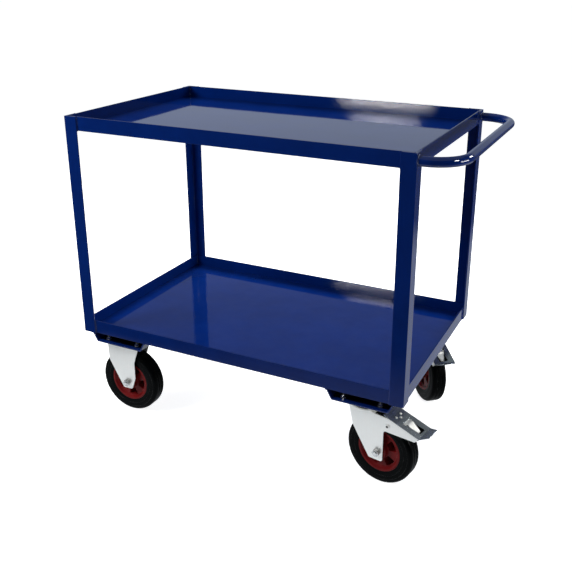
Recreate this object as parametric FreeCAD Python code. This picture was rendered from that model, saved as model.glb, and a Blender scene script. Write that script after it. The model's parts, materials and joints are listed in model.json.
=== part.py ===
import FreeCAD, Part
import math
import os

from FreeCAD import Placement, Rotation, Vector

# Two-tier shelf trolley: angle-iron frame, two trays, a tube handle, two fixed and two braked swivel castors.
# Millimetres. +X runs along the length towards the handle, +Y to the back, +Z up; the floor is Z = 0.

# Frame
frame_length = 1024.0
frame_width = 630.0
leg_length = 662.0
leg_flange = 40.0
leg_wall = 4.0
leg_root_radius = 5.0
leg_toe_radius = 2.0
steel_edge_radius = 0.8

# Trays
rail_height = 40.0
rail_flange = 40.0
rail_wall = 4.0
deck_thickness = 2.0
deck_clearance = 0.3
corner_clearance = 1.0

# Push handle
handle_tube = 25.0
handle_wall = 2.0
handle_reach = 97.0
handle_bend_radius = 84.0
handle_drop = 20.0

# Castor channels under the lower tray
channel_margin = 12.5
channel_flare = 16.0
channel_depth = 29.0
channel_wall = 4.0
channel_bend_radius = 2.0
castor_inset_x = 122.0
castor_inset_y = 65.0

# Castor plates and the bolts that hold them
plate_margin = 15.0
plate_thickness = 4.0
plate_corner_radius = 8.0
plate_edge_radius = 0.6
hole_spacing_x = 105.0
bolt_cheek_gap = 1.0
bolt_diameter = 8.0
bolt_hole = 9.0
bolt_head_flats = 13.0
bolt_head_height = 5.3
bolt_tail = 5.0
bolt_chamfer = 1.0
nut_height = 6.5
washer_diameter = 17.0
washer_thickness = 1.6
fastener_clearance = 0.1

# Wheels
wheel_diameter = 200.0
tyre_width = 46.0
tyre_shoulder_radius = 10.0
tyre_flank_radius = 8.0
tyre_flank_step = 6.0
groove_count = 2
groove_pitch = 11.7
groove_width = 3.2
groove_depth = 2.6
rim_diameter = 127.0
rim_lip_height = 2.0
rim_lip_thickness = 3.2
rim_inset = 1.0
rim_lip_gap = 0.2
rim_lip_width = 5.5
rim_taper = 7.0
rim_root_radius = 4.0
rim_edge_radius = 1.0
hub_wall = 8.4
hub_side_gap = 1.5
hub_edge_radius = 1.5
hub_draft = 2.0
hub_root_radius = 2.0
spoke_count = 5
spoke_inset = 7.0
pocket_angle = 38.0
pocket_floor_angle = 25.0
pocket_floor = 3.5
pocket_border = 1.0

# Axles and roller bearings
axle_diameter = 12.0
axle_head_flats = 19.0
axle_head_height = 7.5
axle_nut_height = 10.0
axle_tail = 3.0
axle_chamfer = 1.2
sleeve_diameter = 20.0
roller_diameter = 5.0
roller_count = 11
cage_inset = 3.0
cage_end = 5.0
running_clearance = 0.06
cage_clearance = 0.4

# Forks and brackets
tyre_side_gap = 6.5
fork_wall = 3.0
fork_headroom = 37.0

# Fixed bracket cheeks, measured from the axle
bracket_front_reach = 64.0
bracket_back_reach = 30.0
bracket_front_corner = 68.0
bracket_back_corner = 19.0
bracket_back_shoulder = 72.0
bracket_back_top = 50.0
bracket_plate_inset = 1.0
bracket_foot_half = 16.0
bracket_foot_drop = 20.0
bracket_corner_radius = 8.0
bracket_return = 20.0
return_side_gap = 4.0
return_tyre_gap = 3.0

# Swivel fork, measured from the axle or the kingpin
fork_trail = 54.0
fork_neck_front = 37.0
fork_neck_low_front = 23.0
fork_neck_drop = 57.0
fork_foot_front = 25.0
fork_foot_back = 17.0
fork_foot_drop = 25.0
fork_corner_radius = 7.0
fork_neck_radius = 14.0
fork_web_back = 40.0
fork_web_thickness = 4.0

# Swivel head
head_diameter = 86.0
head_rim_radius = 3.0
crown_thickness = 7.0
crown_gap = 3.0
race_height = 9.0
ball_diameter = 8.0
race_margin = 10.0
ball_count = 20
ball_seat_clearance = 0.05
ball_running_clearance = 0.3
kingpin_diameter = 16.0
kingpin_head_diameter = 26.0
kingpin_nut_flats = 24.0
kingpin_nut_height = 9.0
kingpin_washer_diameter = 30.0
kingpin_washer_thickness = 3.0
kingpin_tail = 2.0
thrust_clearance = 0.1

# Brake, measured from the pedal's pivot, along and across the pedal
pivot_behind_axle = 28.5
pivot_below_tread = 11.0
pivot_diameter = 8.0
pivot_head_diameter = 12.0
pivot_head_height = 2.5
pedal_slope = 18.0
pedal_front = 21.0
pedal_back = 90.0
pedal_corner_radius = 3.0
pedal_overhang = 0.5
pedal_thickness = 2.0
pedal_rise = 25.6
pedal_rest_gap = 0.8
lip_length = 24.0
lip_width = 45.0
lip_turn = 38.7
lip_corner_radius = 4.0
window_length = 50.5
window_border = 8.0
window_width = 26.0
window_radius = 2.0
slot_length = 10.0
slot_width = 35.0
ear_thickness = 2.0
ear_clearance = 0.4
ear_radius = 9.0
ear_front = 16.0
ear_back = 24.0
arm_underside_drop = 17.5
arm_tip_drop = 10.0
arm_tip_inset = 2.0
arm_tip_radius = 1.0
arm_corner_radius = 3.5
arm_front = 3.0
arm_shoulder = 37.0
leaf_width = 23.5
leaf_head_width = 33.0
leaf_thickness = 1.6
leaf_front = 6.0
leaf_head_gap = 1.5
leaf_crest_length = 4.5
leaf_crest_rise = 1.9
leaf_step_length = 4.3
leaf_step_drop = 1.0
leaf_tip_gap = 6.5
leaf_tip_radius = 2.0
leaf_bend_radius = 0.6
leaf_tip_width = 9.5
leaf_tip_drop = 6.0
shoe_length = 20.0
shoe_width = 31.0
shoe_start = 3.0
shoe_tyre_gap = 0.5
rivet_diameter = 4.0
rivet_head_diameter = 7.0
rivet_head_height = 1.6
rivet_head_radius = 1.1
rivet_depth = 3.0
rivet_along = 6.0
rivet_middle_along = 14.0
rivet_side = 12.0

# How far each swivel castor is turned at rest
swivel_turn_front = -10.0
swivel_turn_back = -50.0

# How far each wheel is turned on its axle at rest
wheel_turn_front_left = 45.0
wheel_turn_back_left = 20.0
wheel_turn_front_right = 8.0
wheel_turn_back_right = 55.0

# How near two lengths count as one when an edge is picked out
tiny = 1e-3

# Places worked out from the sizes above
overall_length = frame_length + handle_reach + handle_tube / 2
left_face = -overall_length / 2
right_face = left_face + frame_length
front_face = -frame_width / 2
wheel_radius = wheel_diameter / 2
castor_height = wheel_diameter + fork_headroom
leg_bottom = castor_height + channel_depth
leg_top = leg_bottom + leg_length
plate_underside = castor_height - plate_thickness
fork_gap = tyre_width + 2 * tyre_side_gap
cheek_outer = fork_gap / 2 + fork_wall
hole_spacing_y = 2 * (cheek_outer + bolt_cheek_gap) + bolt_head_flats
plate_length = hole_spacing_x + 2 * plate_margin
plate_width = hole_spacing_y + 2 * plate_margin
channel_web = plate_length + 2 * channel_margin
tray_length = frame_length - 2 * leg_wall
tray_width = frame_width - 2 * leg_wall
tray_corner_radius = leg_root_radius + corner_clearance
castor_left = left_face + castor_inset_x
castor_right = right_face - castor_inset_x
castor_front = front_face + castor_inset_y
frame_middle = (left_face + right_face) / 2
pivot_along = fork_trail + pivot_behind_axle
pivot_height = wheel_diameter - pivot_below_tread
race_bottom = plate_underside - race_height
crown_top = race_bottom - crown_gap
crown_bottom = crown_top - crown_thickness
ball_height = race_bottom - crown_gap / 2
ball_circle = head_diameter - 2 * race_margin
roller_circle = sleeve_diameter + 2 * running_clearance + roller_diameter
hub_bore = roller_circle + roller_diameter + 2 * running_clearance
hub_diameter = hub_bore + 2 * hub_wall
hub_length = fork_gap - 2 * hub_side_gap
cage_length = hub_length - 2 * cage_inset
roller_length = cage_length - 2 * cage_end
rim_width = tyre_width - 2 * rim_inset
tyre_bead_width = rim_width - 2 * rim_lip_thickness
tyre_seat_diameter = rim_diameter - 2 * rim_lip_height
rim_mouth_diameter = rim_diameter - 2 * rim_lip_width
rim_root_diameter = rim_mouth_diameter - 2 * rim_taper
pedal_half = cheek_outer + pedal_overhang
window_end = pedal_back - window_border
window_start = window_end - window_length
slot_end = window_start + slot_length
leaf_tip = window_end - leaf_tip_gap
arm_tip_back = pedal_back - arm_tip_inset

X = Vector(1, 0, 0)
Y = Vector(0, 1, 0)
Z = Vector(0, 0, 1)


def box(low, high):
    """A box between two corners."""
    size = Vector(*high) - Vector(*low)
    return Part.makeBox(size.x, size.y, size.z, Vector(*low))


def rod(start, axis, radius, length):
    """A round bar from a point along an axis."""
    return Part.makeCylinder(radius, length, Vector(*start), axis)


def pointed_rod(start, axis, radius, length, chamfer):
    """A round bar from a point along an axis, with its far end chamfered."""
    shoulder = length - chamfer
    bar = rod(start, axis, radius, shoulder)
    tip = Part.makeCone(radius, radius - chamfer, chamfer, Vector(*start) + axis * shoulder, axis)
    return bar.fuse(tip).removeSplitter()


def hexagon(start, axis, flats, height):
    """A hexagonal bar from a point along Y or Z, with two flats across the width."""
    radius = flats / math.sqrt(3)
    corners = []
    for turn in range(7):
        angle = math.radians(60 * turn)
        if axis.z:
            corners.append(Vector(radius * math.cos(angle), radius * math.sin(angle), 0))
        else:
            corners.append(Vector(radius * math.cos(angle), 0, radius * math.sin(angle)))
    bar = Part.Face(Part.makePolygon(corners)).extrude(axis * height)
    bar.translate(Vector(*start))
    return bar


def outline(corners):
    """A face in the XY plane from (x, y, corner radius) points."""
    edges = []
    starts = []
    ends = []
    count = len(corners)
    for index in range(count):
        here = Vector(corners[index][0], corners[index][1], 0)
        before = Vector(corners[index - 1][0], corners[index - 1][1], 0)
        after = Vector(corners[(index + 1) % count][0], corners[(index + 1) % count][1], 0)
        radius = corners[index][2]
        if radius == 0:
            starts.append(here)
            ends.append(here)
            continue
        back = (before - here).normalize()
        ahead = (after - here).normalize()
        half = back.getAngle(ahead) / 2
        reach = radius / math.tan(half)
        middle = (back + ahead).normalize() * (radius / math.sin(half) - radius)
        starts.append(here + back * reach)
        ends.append(here + ahead * reach)
        edges.append(Part.Arc(starts[-1], here + middle, ends[-1]).toShape())
    for index in range(count):
        begin = ends[index]
        finish = starts[(index + 1) % count]
        if begin.distanceToPoint(finish) > tiny:
            edges.append(Part.LineSegment(begin, finish).toShape())
    return Part.Face(Part.Wire(Part.__sortEdges__(edges)))


def standing(corners, low, high):
    """A plate whose outline is given in X and Z, between two Y places."""
    face = outline(corners)
    face.rotate(Vector(), X, 90)
    face.translate(Y * low)
    return face.extrude(Y * (high - low))


def flat(corners, low, high):
    """A plate whose outline is given in X and Y, between two heights."""
    face = outline(corners)
    face.translate(Z * low)
    return face.extrude(Z * (high - low))


def turned(corners):
    """A ring turned about the Y axis from an outline of (radius, place along Y, corner radius) points."""
    return outline(corners).revolve(Vector(), Y, 360)


def join(shapes):
    """Several shapes fused into one clean solid."""
    return shapes[0].multiFuse(shapes[1:]).removeSplitter()


def rounded(shape, radius, wanted):
    """The shape with a fillet on each edge that the test picks out."""
    edges = [edge for edge in shape.Edges if wanted(edge)]
    return shape.makeFillet(radius, edges)


def along(edge, axis):
    """Whether a straight edge runs along an axis."""
    step = edge.lastVertex().Point - edge.firstVertex().Point
    return step.Length > tiny and step.cross(axis).Length < tiny * step.Length


def placed(shape, place):
    """A copy of the shape moved to a place."""
    copy = shape.copy()
    copy.Placement = place.multiply(copy.Placement)
    return copy


def save(name, *solids):
    """Write one node, as a single solid or as a group of separate solids."""
    shape = solids[0] if len(solids) == 1 else Part.makeCompound(solids)
    shape.exportStep(os.path.join("parts", name + ".step"))


def leg():
    """An angle-iron leg with its heel at the origin, its flanges along +X and +Y."""
    corners = [
        (0, 0, steel_edge_radius),
        (leg_flange, 0, 0),
        (leg_flange, leg_wall, leg_toe_radius),
        (leg_wall, leg_wall, leg_root_radius),
        (leg_wall, leg_flange, leg_toe_radius),
        (0, leg_flange, 0),
    ]
    return flat(corners, leg_bottom, leg_top)


def legs():
    """The four legs, heels at the outer corners."""
    half_x = frame_length / 2
    half_y = frame_width / 2
    corners = {
        "leg_front_left": (-half_x, -half_y, 0),
        "leg_front_right": (half_x, -half_y, 90),
        "leg_back_right": (half_x, half_y, 180),
        "leg_back_left": (-half_x, half_y, 270),
    }
    for name, (x, y, turn) in corners.items():
        save(name, placed(leg(), Placement(Vector(frame_middle + x, y, 0), Rotation(Z, turn))))


def rail(length, width, bottom):
    """A mitred angle rail along the front of a tray that is centred on the origin."""
    def mitred(depth, low, high):
        front = -width / 2
        corners = [
            (-length / 2, front, 0),
            (length / 2, front, 0),
            (length / 2 - depth, front + depth, 0),
            (-length / 2 + depth, front + depth, 0),
        ]
        return flat(corners, low, high)

    top = bottom + rail_height
    bar = join([mitred(rail_flange, bottom, bottom + rail_wall), mitred(rail_wall, bottom, top)])
    bar = rounded(bar, steel_edge_radius, lambda edge: along(edge, X) and edge.BoundBox.ZMin > top - tiny)
    half_x = length / 2
    half_y = width / 2
    tray = [(x, y, tray_corner_radius) for x, y in (
        (-half_x, -half_y), (half_x, -half_y), (half_x, half_y), (-half_x, half_y))]
    return bar.common(flat(tray, bottom, top))


def tray(tier, bottom):
    """Four mitred rails and the deck sheet that lies on their lower flanges."""
    sides = {
        "front": (tray_length, tray_width, 0),
        "right": (tray_width, tray_length, 90),
        "back": (tray_length, tray_width, 180),
        "left": (tray_width, tray_length, 270),
    }
    for side, (length, width, turn) in sides.items():
        place = Placement(X * frame_middle, Rotation(Z, turn))
        save(tier + "_rail_" + side, placed(rail(length, width, bottom), place))
    inset = rail_wall + deck_clearance
    half_x = tray_length / 2 - inset
    half_y = tray_width / 2 - inset
    low = bottom + rail_wall
    save(tier + "_deck", box(
        (frame_middle - half_x, -half_y, low), (frame_middle + half_x, half_y, low + deck_thickness)))


def push_handle():
    """A U of round tube butted against the outer faces of the two legs at the handle end."""
    height = leg_top - handle_drop
    near = front_face + handle_tube / 2
    far = -near
    outer = right_face + handle_reach
    bend = handle_bend_radius
    lean = bend * (1 - math.sqrt(0.5))
    points = [Vector(x, y, height) for x, y in (
        (right_face, near), (outer - bend, near), (outer - lean, near + lean), (outer, near + bend),
        (outer, far - bend), (outer - lean, far - lean), (outer - bend, far), (right_face, far))]
    path = Part.Wire([
        Part.LineSegment(points[0], points[1]).toShape(),
        Part.Arc(points[1], points[2], points[3]).toShape(),
        Part.LineSegment(points[3], points[4]).toShape(),
        Part.Arc(points[4], points[5], points[6]).toShape(),
        Part.LineSegment(points[6], points[7]).toShape(),
    ])

    def swept(radius):
        ring = Part.Wire(Part.makeCircle(radius, points[0], X))
        return path.makePipeShell([ring], True, False)

    save("push_handle", swept(handle_tube / 2).cut(swept(handle_tube / 2 - handle_wall)))


def channel():
    """A folded channel with flared sides, open upwards, running from front to back, centred on X = 0."""
    half = channel_web / 2
    slope = math.hypot(channel_flare, channel_depth)
    across = channel_wall * channel_depth / slope
    up = channel_wall * channel_flare / slope
    inner_low = half - across + (channel_wall - up) / channel_depth * channel_flare
    inner_high = half - across + (channel_depth - up) / channel_depth * channel_flare
    outer_high = half + channel_flare
    bend = channel_bend_radius
    top = channel_depth
    corners = [
        (-half, 0, bend + channel_wall),
        (half, 0, bend + channel_wall),
        (outer_high, top, 0),
        (inner_high, top, 0),
        (inner_low, channel_wall, bend),
        (-inner_low, channel_wall, bend),
        (-inner_high, top, 0),
        (-outer_high, top, 0),
    ]
    bar = standing(corners, -tray_width / 2, tray_width / 2)
    bar.translate(Z * castor_height)
    for x, y in hole_places():
        for middle in (castor_front, -castor_front):
            bar = bar.cut(rod((x, middle + y, castor_height), Z, bolt_hole / 2, channel_wall))
    return bar


def hole_places():
    """The four bolt places on a castor plate."""
    half_x = hole_spacing_x / 2
    half_y = hole_spacing_y / 2
    return [(-half_x, -half_y), (half_x, -half_y), (half_x, half_y), (-half_x, half_y)]


def castor_places():
    """The middle of each castor plate."""
    return {
        "front_left": Vector(castor_left, castor_front, 0),
        "back_left": Vector(castor_left, -castor_front, 0),
        "front_right": Vector(castor_right, castor_front, 0),
        "back_right": Vector(castor_right, -castor_front, 0),
    }


def channels():
    """The two channels that carry the castors."""
    for side, x in (("left", castor_left), ("right", castor_right)):
        save("castor_channel_" + side, placed(channel(), Placement(X * x, Rotation())))


def castor_fasteners():
    """Bolts from below, with a washer and a nut on each inside the channels."""
    web_top = castor_height + channel_wall
    washer_top = web_top + washer_thickness
    nut_top = washer_top + nut_height
    radius = bolt_diameter / 2
    bore = radius + fastener_clearance
    head_bottom = plate_underside - bolt_head_height
    head = hexagon((0, 0, head_bottom), Z, bolt_head_flats, bolt_head_height)
    shank = pointed_rod((0, 0, head_bottom), Z, radius, nut_top + bolt_tail - head_bottom, bolt_chamfer)
    bolt = join([head, shank])
    washer = rod((0, 0, web_top), Z, washer_diameter / 2, washer_thickness)
    washer = washer.cut(rod((0, 0, web_top), Z, bore, washer_thickness))
    nut = hexagon((0, 0, washer_top), Z, bolt_head_flats, nut_height)
    nut = nut.cut(rod((0, 0, washer_top), Z, bore, nut_height))
    places = []
    for middle in castor_places().values():
        for x, y in hole_places():
            places.append(Placement(middle + Vector(x, y, 0), Rotation()))
    for name, piece in (("castor_bolts", bolt), ("castor_washers", washer), ("castor_nuts", nut)):
        save(name, *[placed(piece, place) for place in places])


def castor_plate():
    """A drilled castor top plate centred on the origin."""
    half_x = plate_length / 2
    half_y = plate_width / 2
    corners = [(x, y, plate_corner_radius) for x, y in (
        (-half_x, -half_y), (half_x, -half_y), (half_x, half_y), (-half_x, half_y))]
    plate = flat(corners, plate_underside, castor_height)
    plate = rounded(plate, plate_edge_radius, lambda edge: edge.BoundBox.ZMax < plate_underside + tiny)
    for x, y in hole_places():
        plate = plate.cut(rod((x, y, plate_underside), Z, bolt_hole / 2, plate_thickness))
    return plate


def axle_bore(x):
    """The axle's hole through both cheeks."""
    start = (x, -cheek_outer, wheel_radius)
    return rod(start, Y, axle_diameter / 2 + fastener_clearance, 2 * cheek_outer)


def fixed_bracket():
    """A pressed bracket, centred on the axle: its plate, and two cheeks with their front edges turned in."""
    foot = wheel_radius - bracket_foot_drop
    front_corner = wheel_radius + bracket_front_corner
    corners = [
        (bracket_plate_inset - plate_length / 2, plate_underside, 0),
        (-bracket_front_reach, front_corner, bracket_corner_radius),
        (-bracket_foot_half, foot, bracket_corner_radius),
        (bracket_foot_half, foot, bracket_corner_radius),
        (bracket_back_reach, wheel_radius + bracket_back_corner, bracket_corner_radius),
        (bracket_back_reach, wheel_radius + bracket_back_shoulder, bracket_corner_radius),
        (bracket_back_top, plate_underside, 0),
    ]
    inner = fork_gap / 2
    over_tyre = wheel_diameter + return_tyre_gap
    beside_tyre = tyre_width / 2 + return_side_gap
    edge = outline([
        (inner + fork_wall / 2, front_corner, 0),
        (inner + fork_wall / 2, plate_underside, 0),
        (cheek_outer - bracket_return, plate_underside, 0),
        (cheek_outer - bracket_return, over_tyre, 0),
        (beside_tyre, over_tyre - bracket_return / 2, 0),
        (beside_tyre, front_corner + bracket_return, 0),
    ])
    edge.rotate(Vector(), X, 90)
    edge.rotate(Vector(), Z, 90)
    edge.translate(X * -bracket_front_reach)
    near = join([standing(corners, inner, cheek_outer), edge.extrude(X * fork_wall)])
    far = near.mirror(Vector(), Y)
    return join([castor_plate(), near, far]).cut(axle_bore(0))


def axle_parts(x):
    """The axle bolt, its nut and the sleeve that the cheeks clamp, across the fork at X."""
    radius = axle_diameter / 2
    head = hexagon((x, cheek_outer, wheel_radius), Y, axle_head_flats, axle_head_height)
    length = axle_head_height + 2 * cheek_outer + axle_nut_height + axle_tail
    head_end = (x, cheek_outer + axle_head_height, wheel_radius)
    bolt = join([head, pointed_rod(head_end, -Y, radius, length, axle_chamfer)])
    bore = radius + fastener_clearance
    nut_start = (x, -cheek_outer - axle_nut_height, wheel_radius)
    nut = hexagon(nut_start, Y, axle_head_flats, axle_nut_height)
    nut = nut.cut(rod(nut_start, Y, bore, axle_nut_height))
    sleeve_start = (x, -fork_gap / 2, wheel_radius)
    sleeve = rod(sleeve_start, Y, sleeve_diameter / 2, fork_gap)
    sleeve = sleeve.cut(rod(sleeve_start, Y, bore, fork_gap))
    return bolt, nut, sleeve


def tyre():
    """A solid rubber tyre about the Y axis, with rounded shoulders and grooves round the tread."""
    seat = tyre_seat_diameter / 2
    rim = rim_diameter / 2 + rim_lip_gap
    bead = tyre_bead_width / 2
    side = tyre_width / 2
    half = [
        (seat, bead, 0),
        (rim, bead, 0),
        (rim, rim_width / 2, 0),
        (rim + tyre_flank_step, side, tyre_flank_radius),
        (wheel_radius, side, tyre_shoulder_radius),
    ]
    other = [(radius, -place, corner) for radius, place, corner in reversed(half)]
    ring = turned(half + other)
    low = wheel_radius - groove_depth
    high = wheel_radius + groove_depth
    for index in range(groove_count):
        middle = (index - (groove_count - 1) / 2) * groove_pitch
        left = middle - groove_width / 2
        right = middle + groove_width / 2
        ring = ring.cut(turned([(low, left, 0), (high, left, 0), (high, right, 0), (low, right, 0)]))
    return ring


def wheel_pocket():
    """One tapered pocket between two spokes, along X, opening towards Y."""
    face = rim_width / 2 - spoke_inset
    floor = pocket_floor - face
    wires = []
    for place, angle in ((floor, pocket_floor_angle), (face, pocket_angle)):
        half = math.radians(angle / 2)
        reach_x = rim_diameter / 2 * math.cos(half)
        reach_z = rim_diameter / 2 * math.sin(half)
        middle = Vector(0, place, 0)
        wires.append(Part.makePolygon([
            middle, Vector(reach_x, place, -reach_z), Vector(reach_x, place, reach_z), middle]))
    inner = hub_diameter / 2 + hub_draft + pocket_border
    outer = rim_root_diameter / 2 - pocket_border
    ring = turned([(inner, floor, 0), (outer, floor, 0), (outer, face, 0), (inner, face, 0)])
    return Part.makeLoft(wires, True, True).common(ring)


def wheel_centre():
    """A plastic wheel centre about the Y axis: lips at the tyre, and spokes between pockets on each side."""
    bore = hub_bore / 2
    hub = hub_diameter / 2
    mouth = rim_mouth_diameter / 2
    lip = rim_diameter / 2
    seat = tyre_seat_diameter / 2 - rim_lip_gap
    hub_end = hub_length / 2
    rim_end = rim_width / 2
    spoke_face = rim_end - spoke_inset
    lip_inner = tyre_bead_width / 2 + rim_lip_gap
    half = [
        (bore, hub_end, rim_edge_radius),
        (hub, hub_end, hub_edge_radius),
        (hub + hub_draft, spoke_face, hub_root_radius),
        (rim_root_diameter / 2, spoke_face, rim_root_radius),
        (mouth, rim_end, rim_edge_radius),
        (lip, rim_end, rim_edge_radius),
        (lip, lip_inner, 0),
        (seat, lip_inner, 0),
    ]
    other = [(radius, -place, corner) for radius, place, corner in reversed(half)]
    body = turned(half + other)
    pocket = wheel_pocket()
    far_pocket = placed(pocket, Placement(Vector(), Rotation(X, 180)))
    step = 360.0 / spoke_count
    for index in range(spoke_count):
        body = body.cut(placed(pocket, Placement(Vector(), Rotation(Y, step * index))))
        body = body.cut(placed(far_pocket, Placement(Vector(), Rotation(Y, step * (index + 0.5)))))
    return body


def roller_bearing():
    """Rollers in a slotted cage, between the axle sleeve and the hub, about the Y axis."""
    inner = sleeve_diameter / 2 + cage_clearance
    outer = hub_bore / 2 - cage_clearance
    cage = turned([
        (inner, -cage_length / 2, 0), (outer, -cage_length / 2, 0),
        (outer, cage_length / 2, 0), (inner, cage_length / 2, 0)])
    slot_half = roller_diameter / 2 + cage_clearance
    slot_end = roller_length / 2 + cage_clearance
    slot = box((0, -slot_end, -slot_half), (hub_bore, slot_end, slot_half))
    roller = rod((roller_circle / 2, -roller_length / 2, 0), Y, roller_diameter / 2, roller_length)
    rollers = []
    for index in range(roller_count):
        place = Placement(Vector(), Rotation(Y, 360.0 / roller_count * index))
        cage = cage.cut(placed(slot, place))
        rollers.append(placed(roller, place))
    return [cage] + rollers


def wheel(corner, place):
    """One wheel's nodes, with the axle's middle at the place."""
    save("tyre_" + corner, placed(tyre(), place))
    turns = {
        "front_left": wheel_turn_front_left,
        "back_left": wheel_turn_back_left,
        "front_right": wheel_turn_front_right,
        "back_right": wheel_turn_back_right,
    }
    turned_place = place.multiply(Placement(Vector(), Rotation(Y, turns[corner])))
    save("wheel_centre_" + corner, placed(wheel_centre(), turned_place))
    save("roller_bearing_" + corner, *[placed(piece, place) for piece in roller_bearing()])


def fixed_castors():
    """The two fixed castors at the end away from the handle."""
    bolts = []
    nuts = []
    sleeves = []
    for side in ("front", "back"):
        corner = side + "_left"
        place = Placement(castor_places()[corner], Rotation())
        save("fixed_bracket_" + side, placed(fixed_bracket(), place))
        for group, piece in zip((bolts, nuts, sleeves), axle_parts(0)):
            group.append(placed(piece, place))
        wheel(corner, place.multiply(Placement(Z * wheel_radius, Rotation())))
    save("fixed_axle_bolts", *bolts)
    save("fixed_axle_nuts", *nuts)
    save("fixed_axle_sleeves", *sleeves)


def ball_groove(clearance):
    """The ring that the swivel balls run in."""
    return Part.makeTorus(ball_circle / 2, ball_diameter / 2 + clearance, Z * ball_height, Z)


def kingpin_shape(clearance):
    """The swivel pin: a countersunk head in the plate and a stem down through the crown."""
    stem = kingpin_diameter / 2 + clearance
    head = kingpin_head_diameter / 2 + clearance
    low = crown_bottom - fork_web_thickness - kingpin_washer_thickness - kingpin_nut_height - kingpin_tail
    pin = rod((0, 0, low), Z, stem, castor_height - low)
    cone = Part.makeCone(stem, head, plate_thickness, Z * plate_underside, Z)
    return join([pin, cone])


def swivel_plate():
    """The swivel castor's top plate with the ball race raised under it."""
    ring = rod((0, 0, race_bottom), Z, head_diameter / 2, race_height + plate_thickness / 2)
    ring = rounded(ring, head_rim_radius, lambda edge: edge.BoundBox.ZMax < race_bottom + tiny)
    plate = join([castor_plate(), ring])
    plate = plate.cut(ball_groove(ball_seat_clearance))
    return plate.cut(kingpin_shape(ball_seat_clearance))


def balls():
    """The ring of balls in one swivel head."""
    ring = []
    for index in range(ball_count):
        angle = 2 * math.pi * index / ball_count
        middle = Vector(math.cos(angle), math.sin(angle), 0) * (ball_circle / 2)
        ring.append(Part.makeSphere(ball_diameter / 2, middle + Z * ball_height))
    return ring


def kingpin_washer():
    """The thrust washer under the fork's crown."""
    top = crown_bottom - fork_web_thickness - thrust_clearance
    low = top - kingpin_washer_thickness
    ring = rod((0, 0, low), Z, kingpin_washer_diameter / 2, kingpin_washer_thickness)
    return ring.cut(kingpin_shape(ball_seat_clearance))


def kingpin_nut():
    """The nut that holds the thrust washer up."""
    top = crown_bottom - fork_web_thickness - thrust_clearance - kingpin_washer_thickness
    nut = hexagon((0, 0, top - kingpin_nut_height), Z, kingpin_nut_flats, kingpin_nut_height)
    return nut.cut(kingpin_shape(ball_seat_clearance))


def on_pedal(forward, up):
    """A place on the pedal's own axes, in the castor's X and Z."""
    slope = math.radians(pedal_slope)
    return (
        pivot_along + forward * math.cos(slope) + up * math.sin(slope),
        pivot_height - forward * math.sin(slope) + up * math.cos(slope),
    )


def fork():
    """The swivel fork: a round crown, a web and two cheeks with arms that carry the brake pedal."""
    web_bottom = crown_bottom - fork_web_thickness
    arm_up = pedal_rise - pedal_thickness - pedal_rest_gap
    arm_start = on_pedal(-arm_front, arm_up)
    arm_end = on_pedal(arm_tip_back, arm_up)
    foot = wheel_radius - fork_foot_drop
    back = fork_trail + fork_foot_back
    underside = pivot_height - arm_underside_drop
    corners = [
        (-fork_neck_front, crown_bottom, 0),
        (-fork_neck_low_front, crown_bottom - fork_neck_drop, fork_neck_radius),
        (fork_trail - fork_foot_front, foot, fork_corner_radius),
        (back, foot, fork_corner_radius),
        (back, underside, fork_corner_radius),
        (arm_end[0] - arm_tip_drop, underside, arm_corner_radius),
        (arm_end[0], arm_end[1], arm_tip_radius),
        (arm_start[0], arm_start[1], fork_corner_radius),
        (arm_start[0] - arm_shoulder, crown_bottom, 0),
    ]
    inner = fork_gap / 2
    cheek = standing(corners, inner, cheek_outer)
    other = standing(corners, -cheek_outer, -inner)
    web_top = crown_bottom + fork_web_thickness / 2
    web = box((-fork_neck_front, -cheek_outer, web_bottom), (fork_web_back, cheek_outer, web_top))
    crown = rod((0, 0, crown_bottom), Z, head_diameter / 2, crown_thickness)
    crown = rounded(crown, head_rim_radius, lambda edge: along_rim(edge, head_diameter / 2))
    shape = join([crown, web, cheek, other])
    shape = shape.cut(ball_groove(ball_running_clearance))
    shape = shape.cut(kingpin_shape(running_clearance))
    shape = shape.cut(axle_bore(fork_trail))
    pivot_radius = pivot_diameter / 2 + running_clearance
    return shape.cut(rod((pivot_along, -cheek_outer, pivot_height), Y, pivot_radius, 2 * cheek_outer))


def along_rim(edge, radius):
    """Whether an edge is a circle of the given radius."""
    return hasattr(edge.Curve, "Radius") and abs(edge.Curve.Radius - radius) < tiny


def pedal_place():
    """Where the pedal's own axes lie: the origin on the pivot, X down the slope, Z out of the plate."""
    return Placement(Vector(pivot_along, 0, pivot_height), Rotation(Y, pedal_slope))


def rivet_places():
    """The rivets that hold the leaf under the pedal."""
    return [(rivet_along, -rivet_side), (rivet_middle_along, 0), (rivet_along, rivet_side)]


def rivet_holes(shape):
    """The shape with the rivets' holes through it."""
    radius = rivet_diameter / 2 + fastener_clearance
    low = pedal_rise - pedal_thickness - leaf_thickness - rivet_depth - fastener_clearance
    for x, y in rivet_places():
        shape = shape.cut(rod((x, y, low), Z, radius, pedal_rise - low))
    return shape


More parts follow.
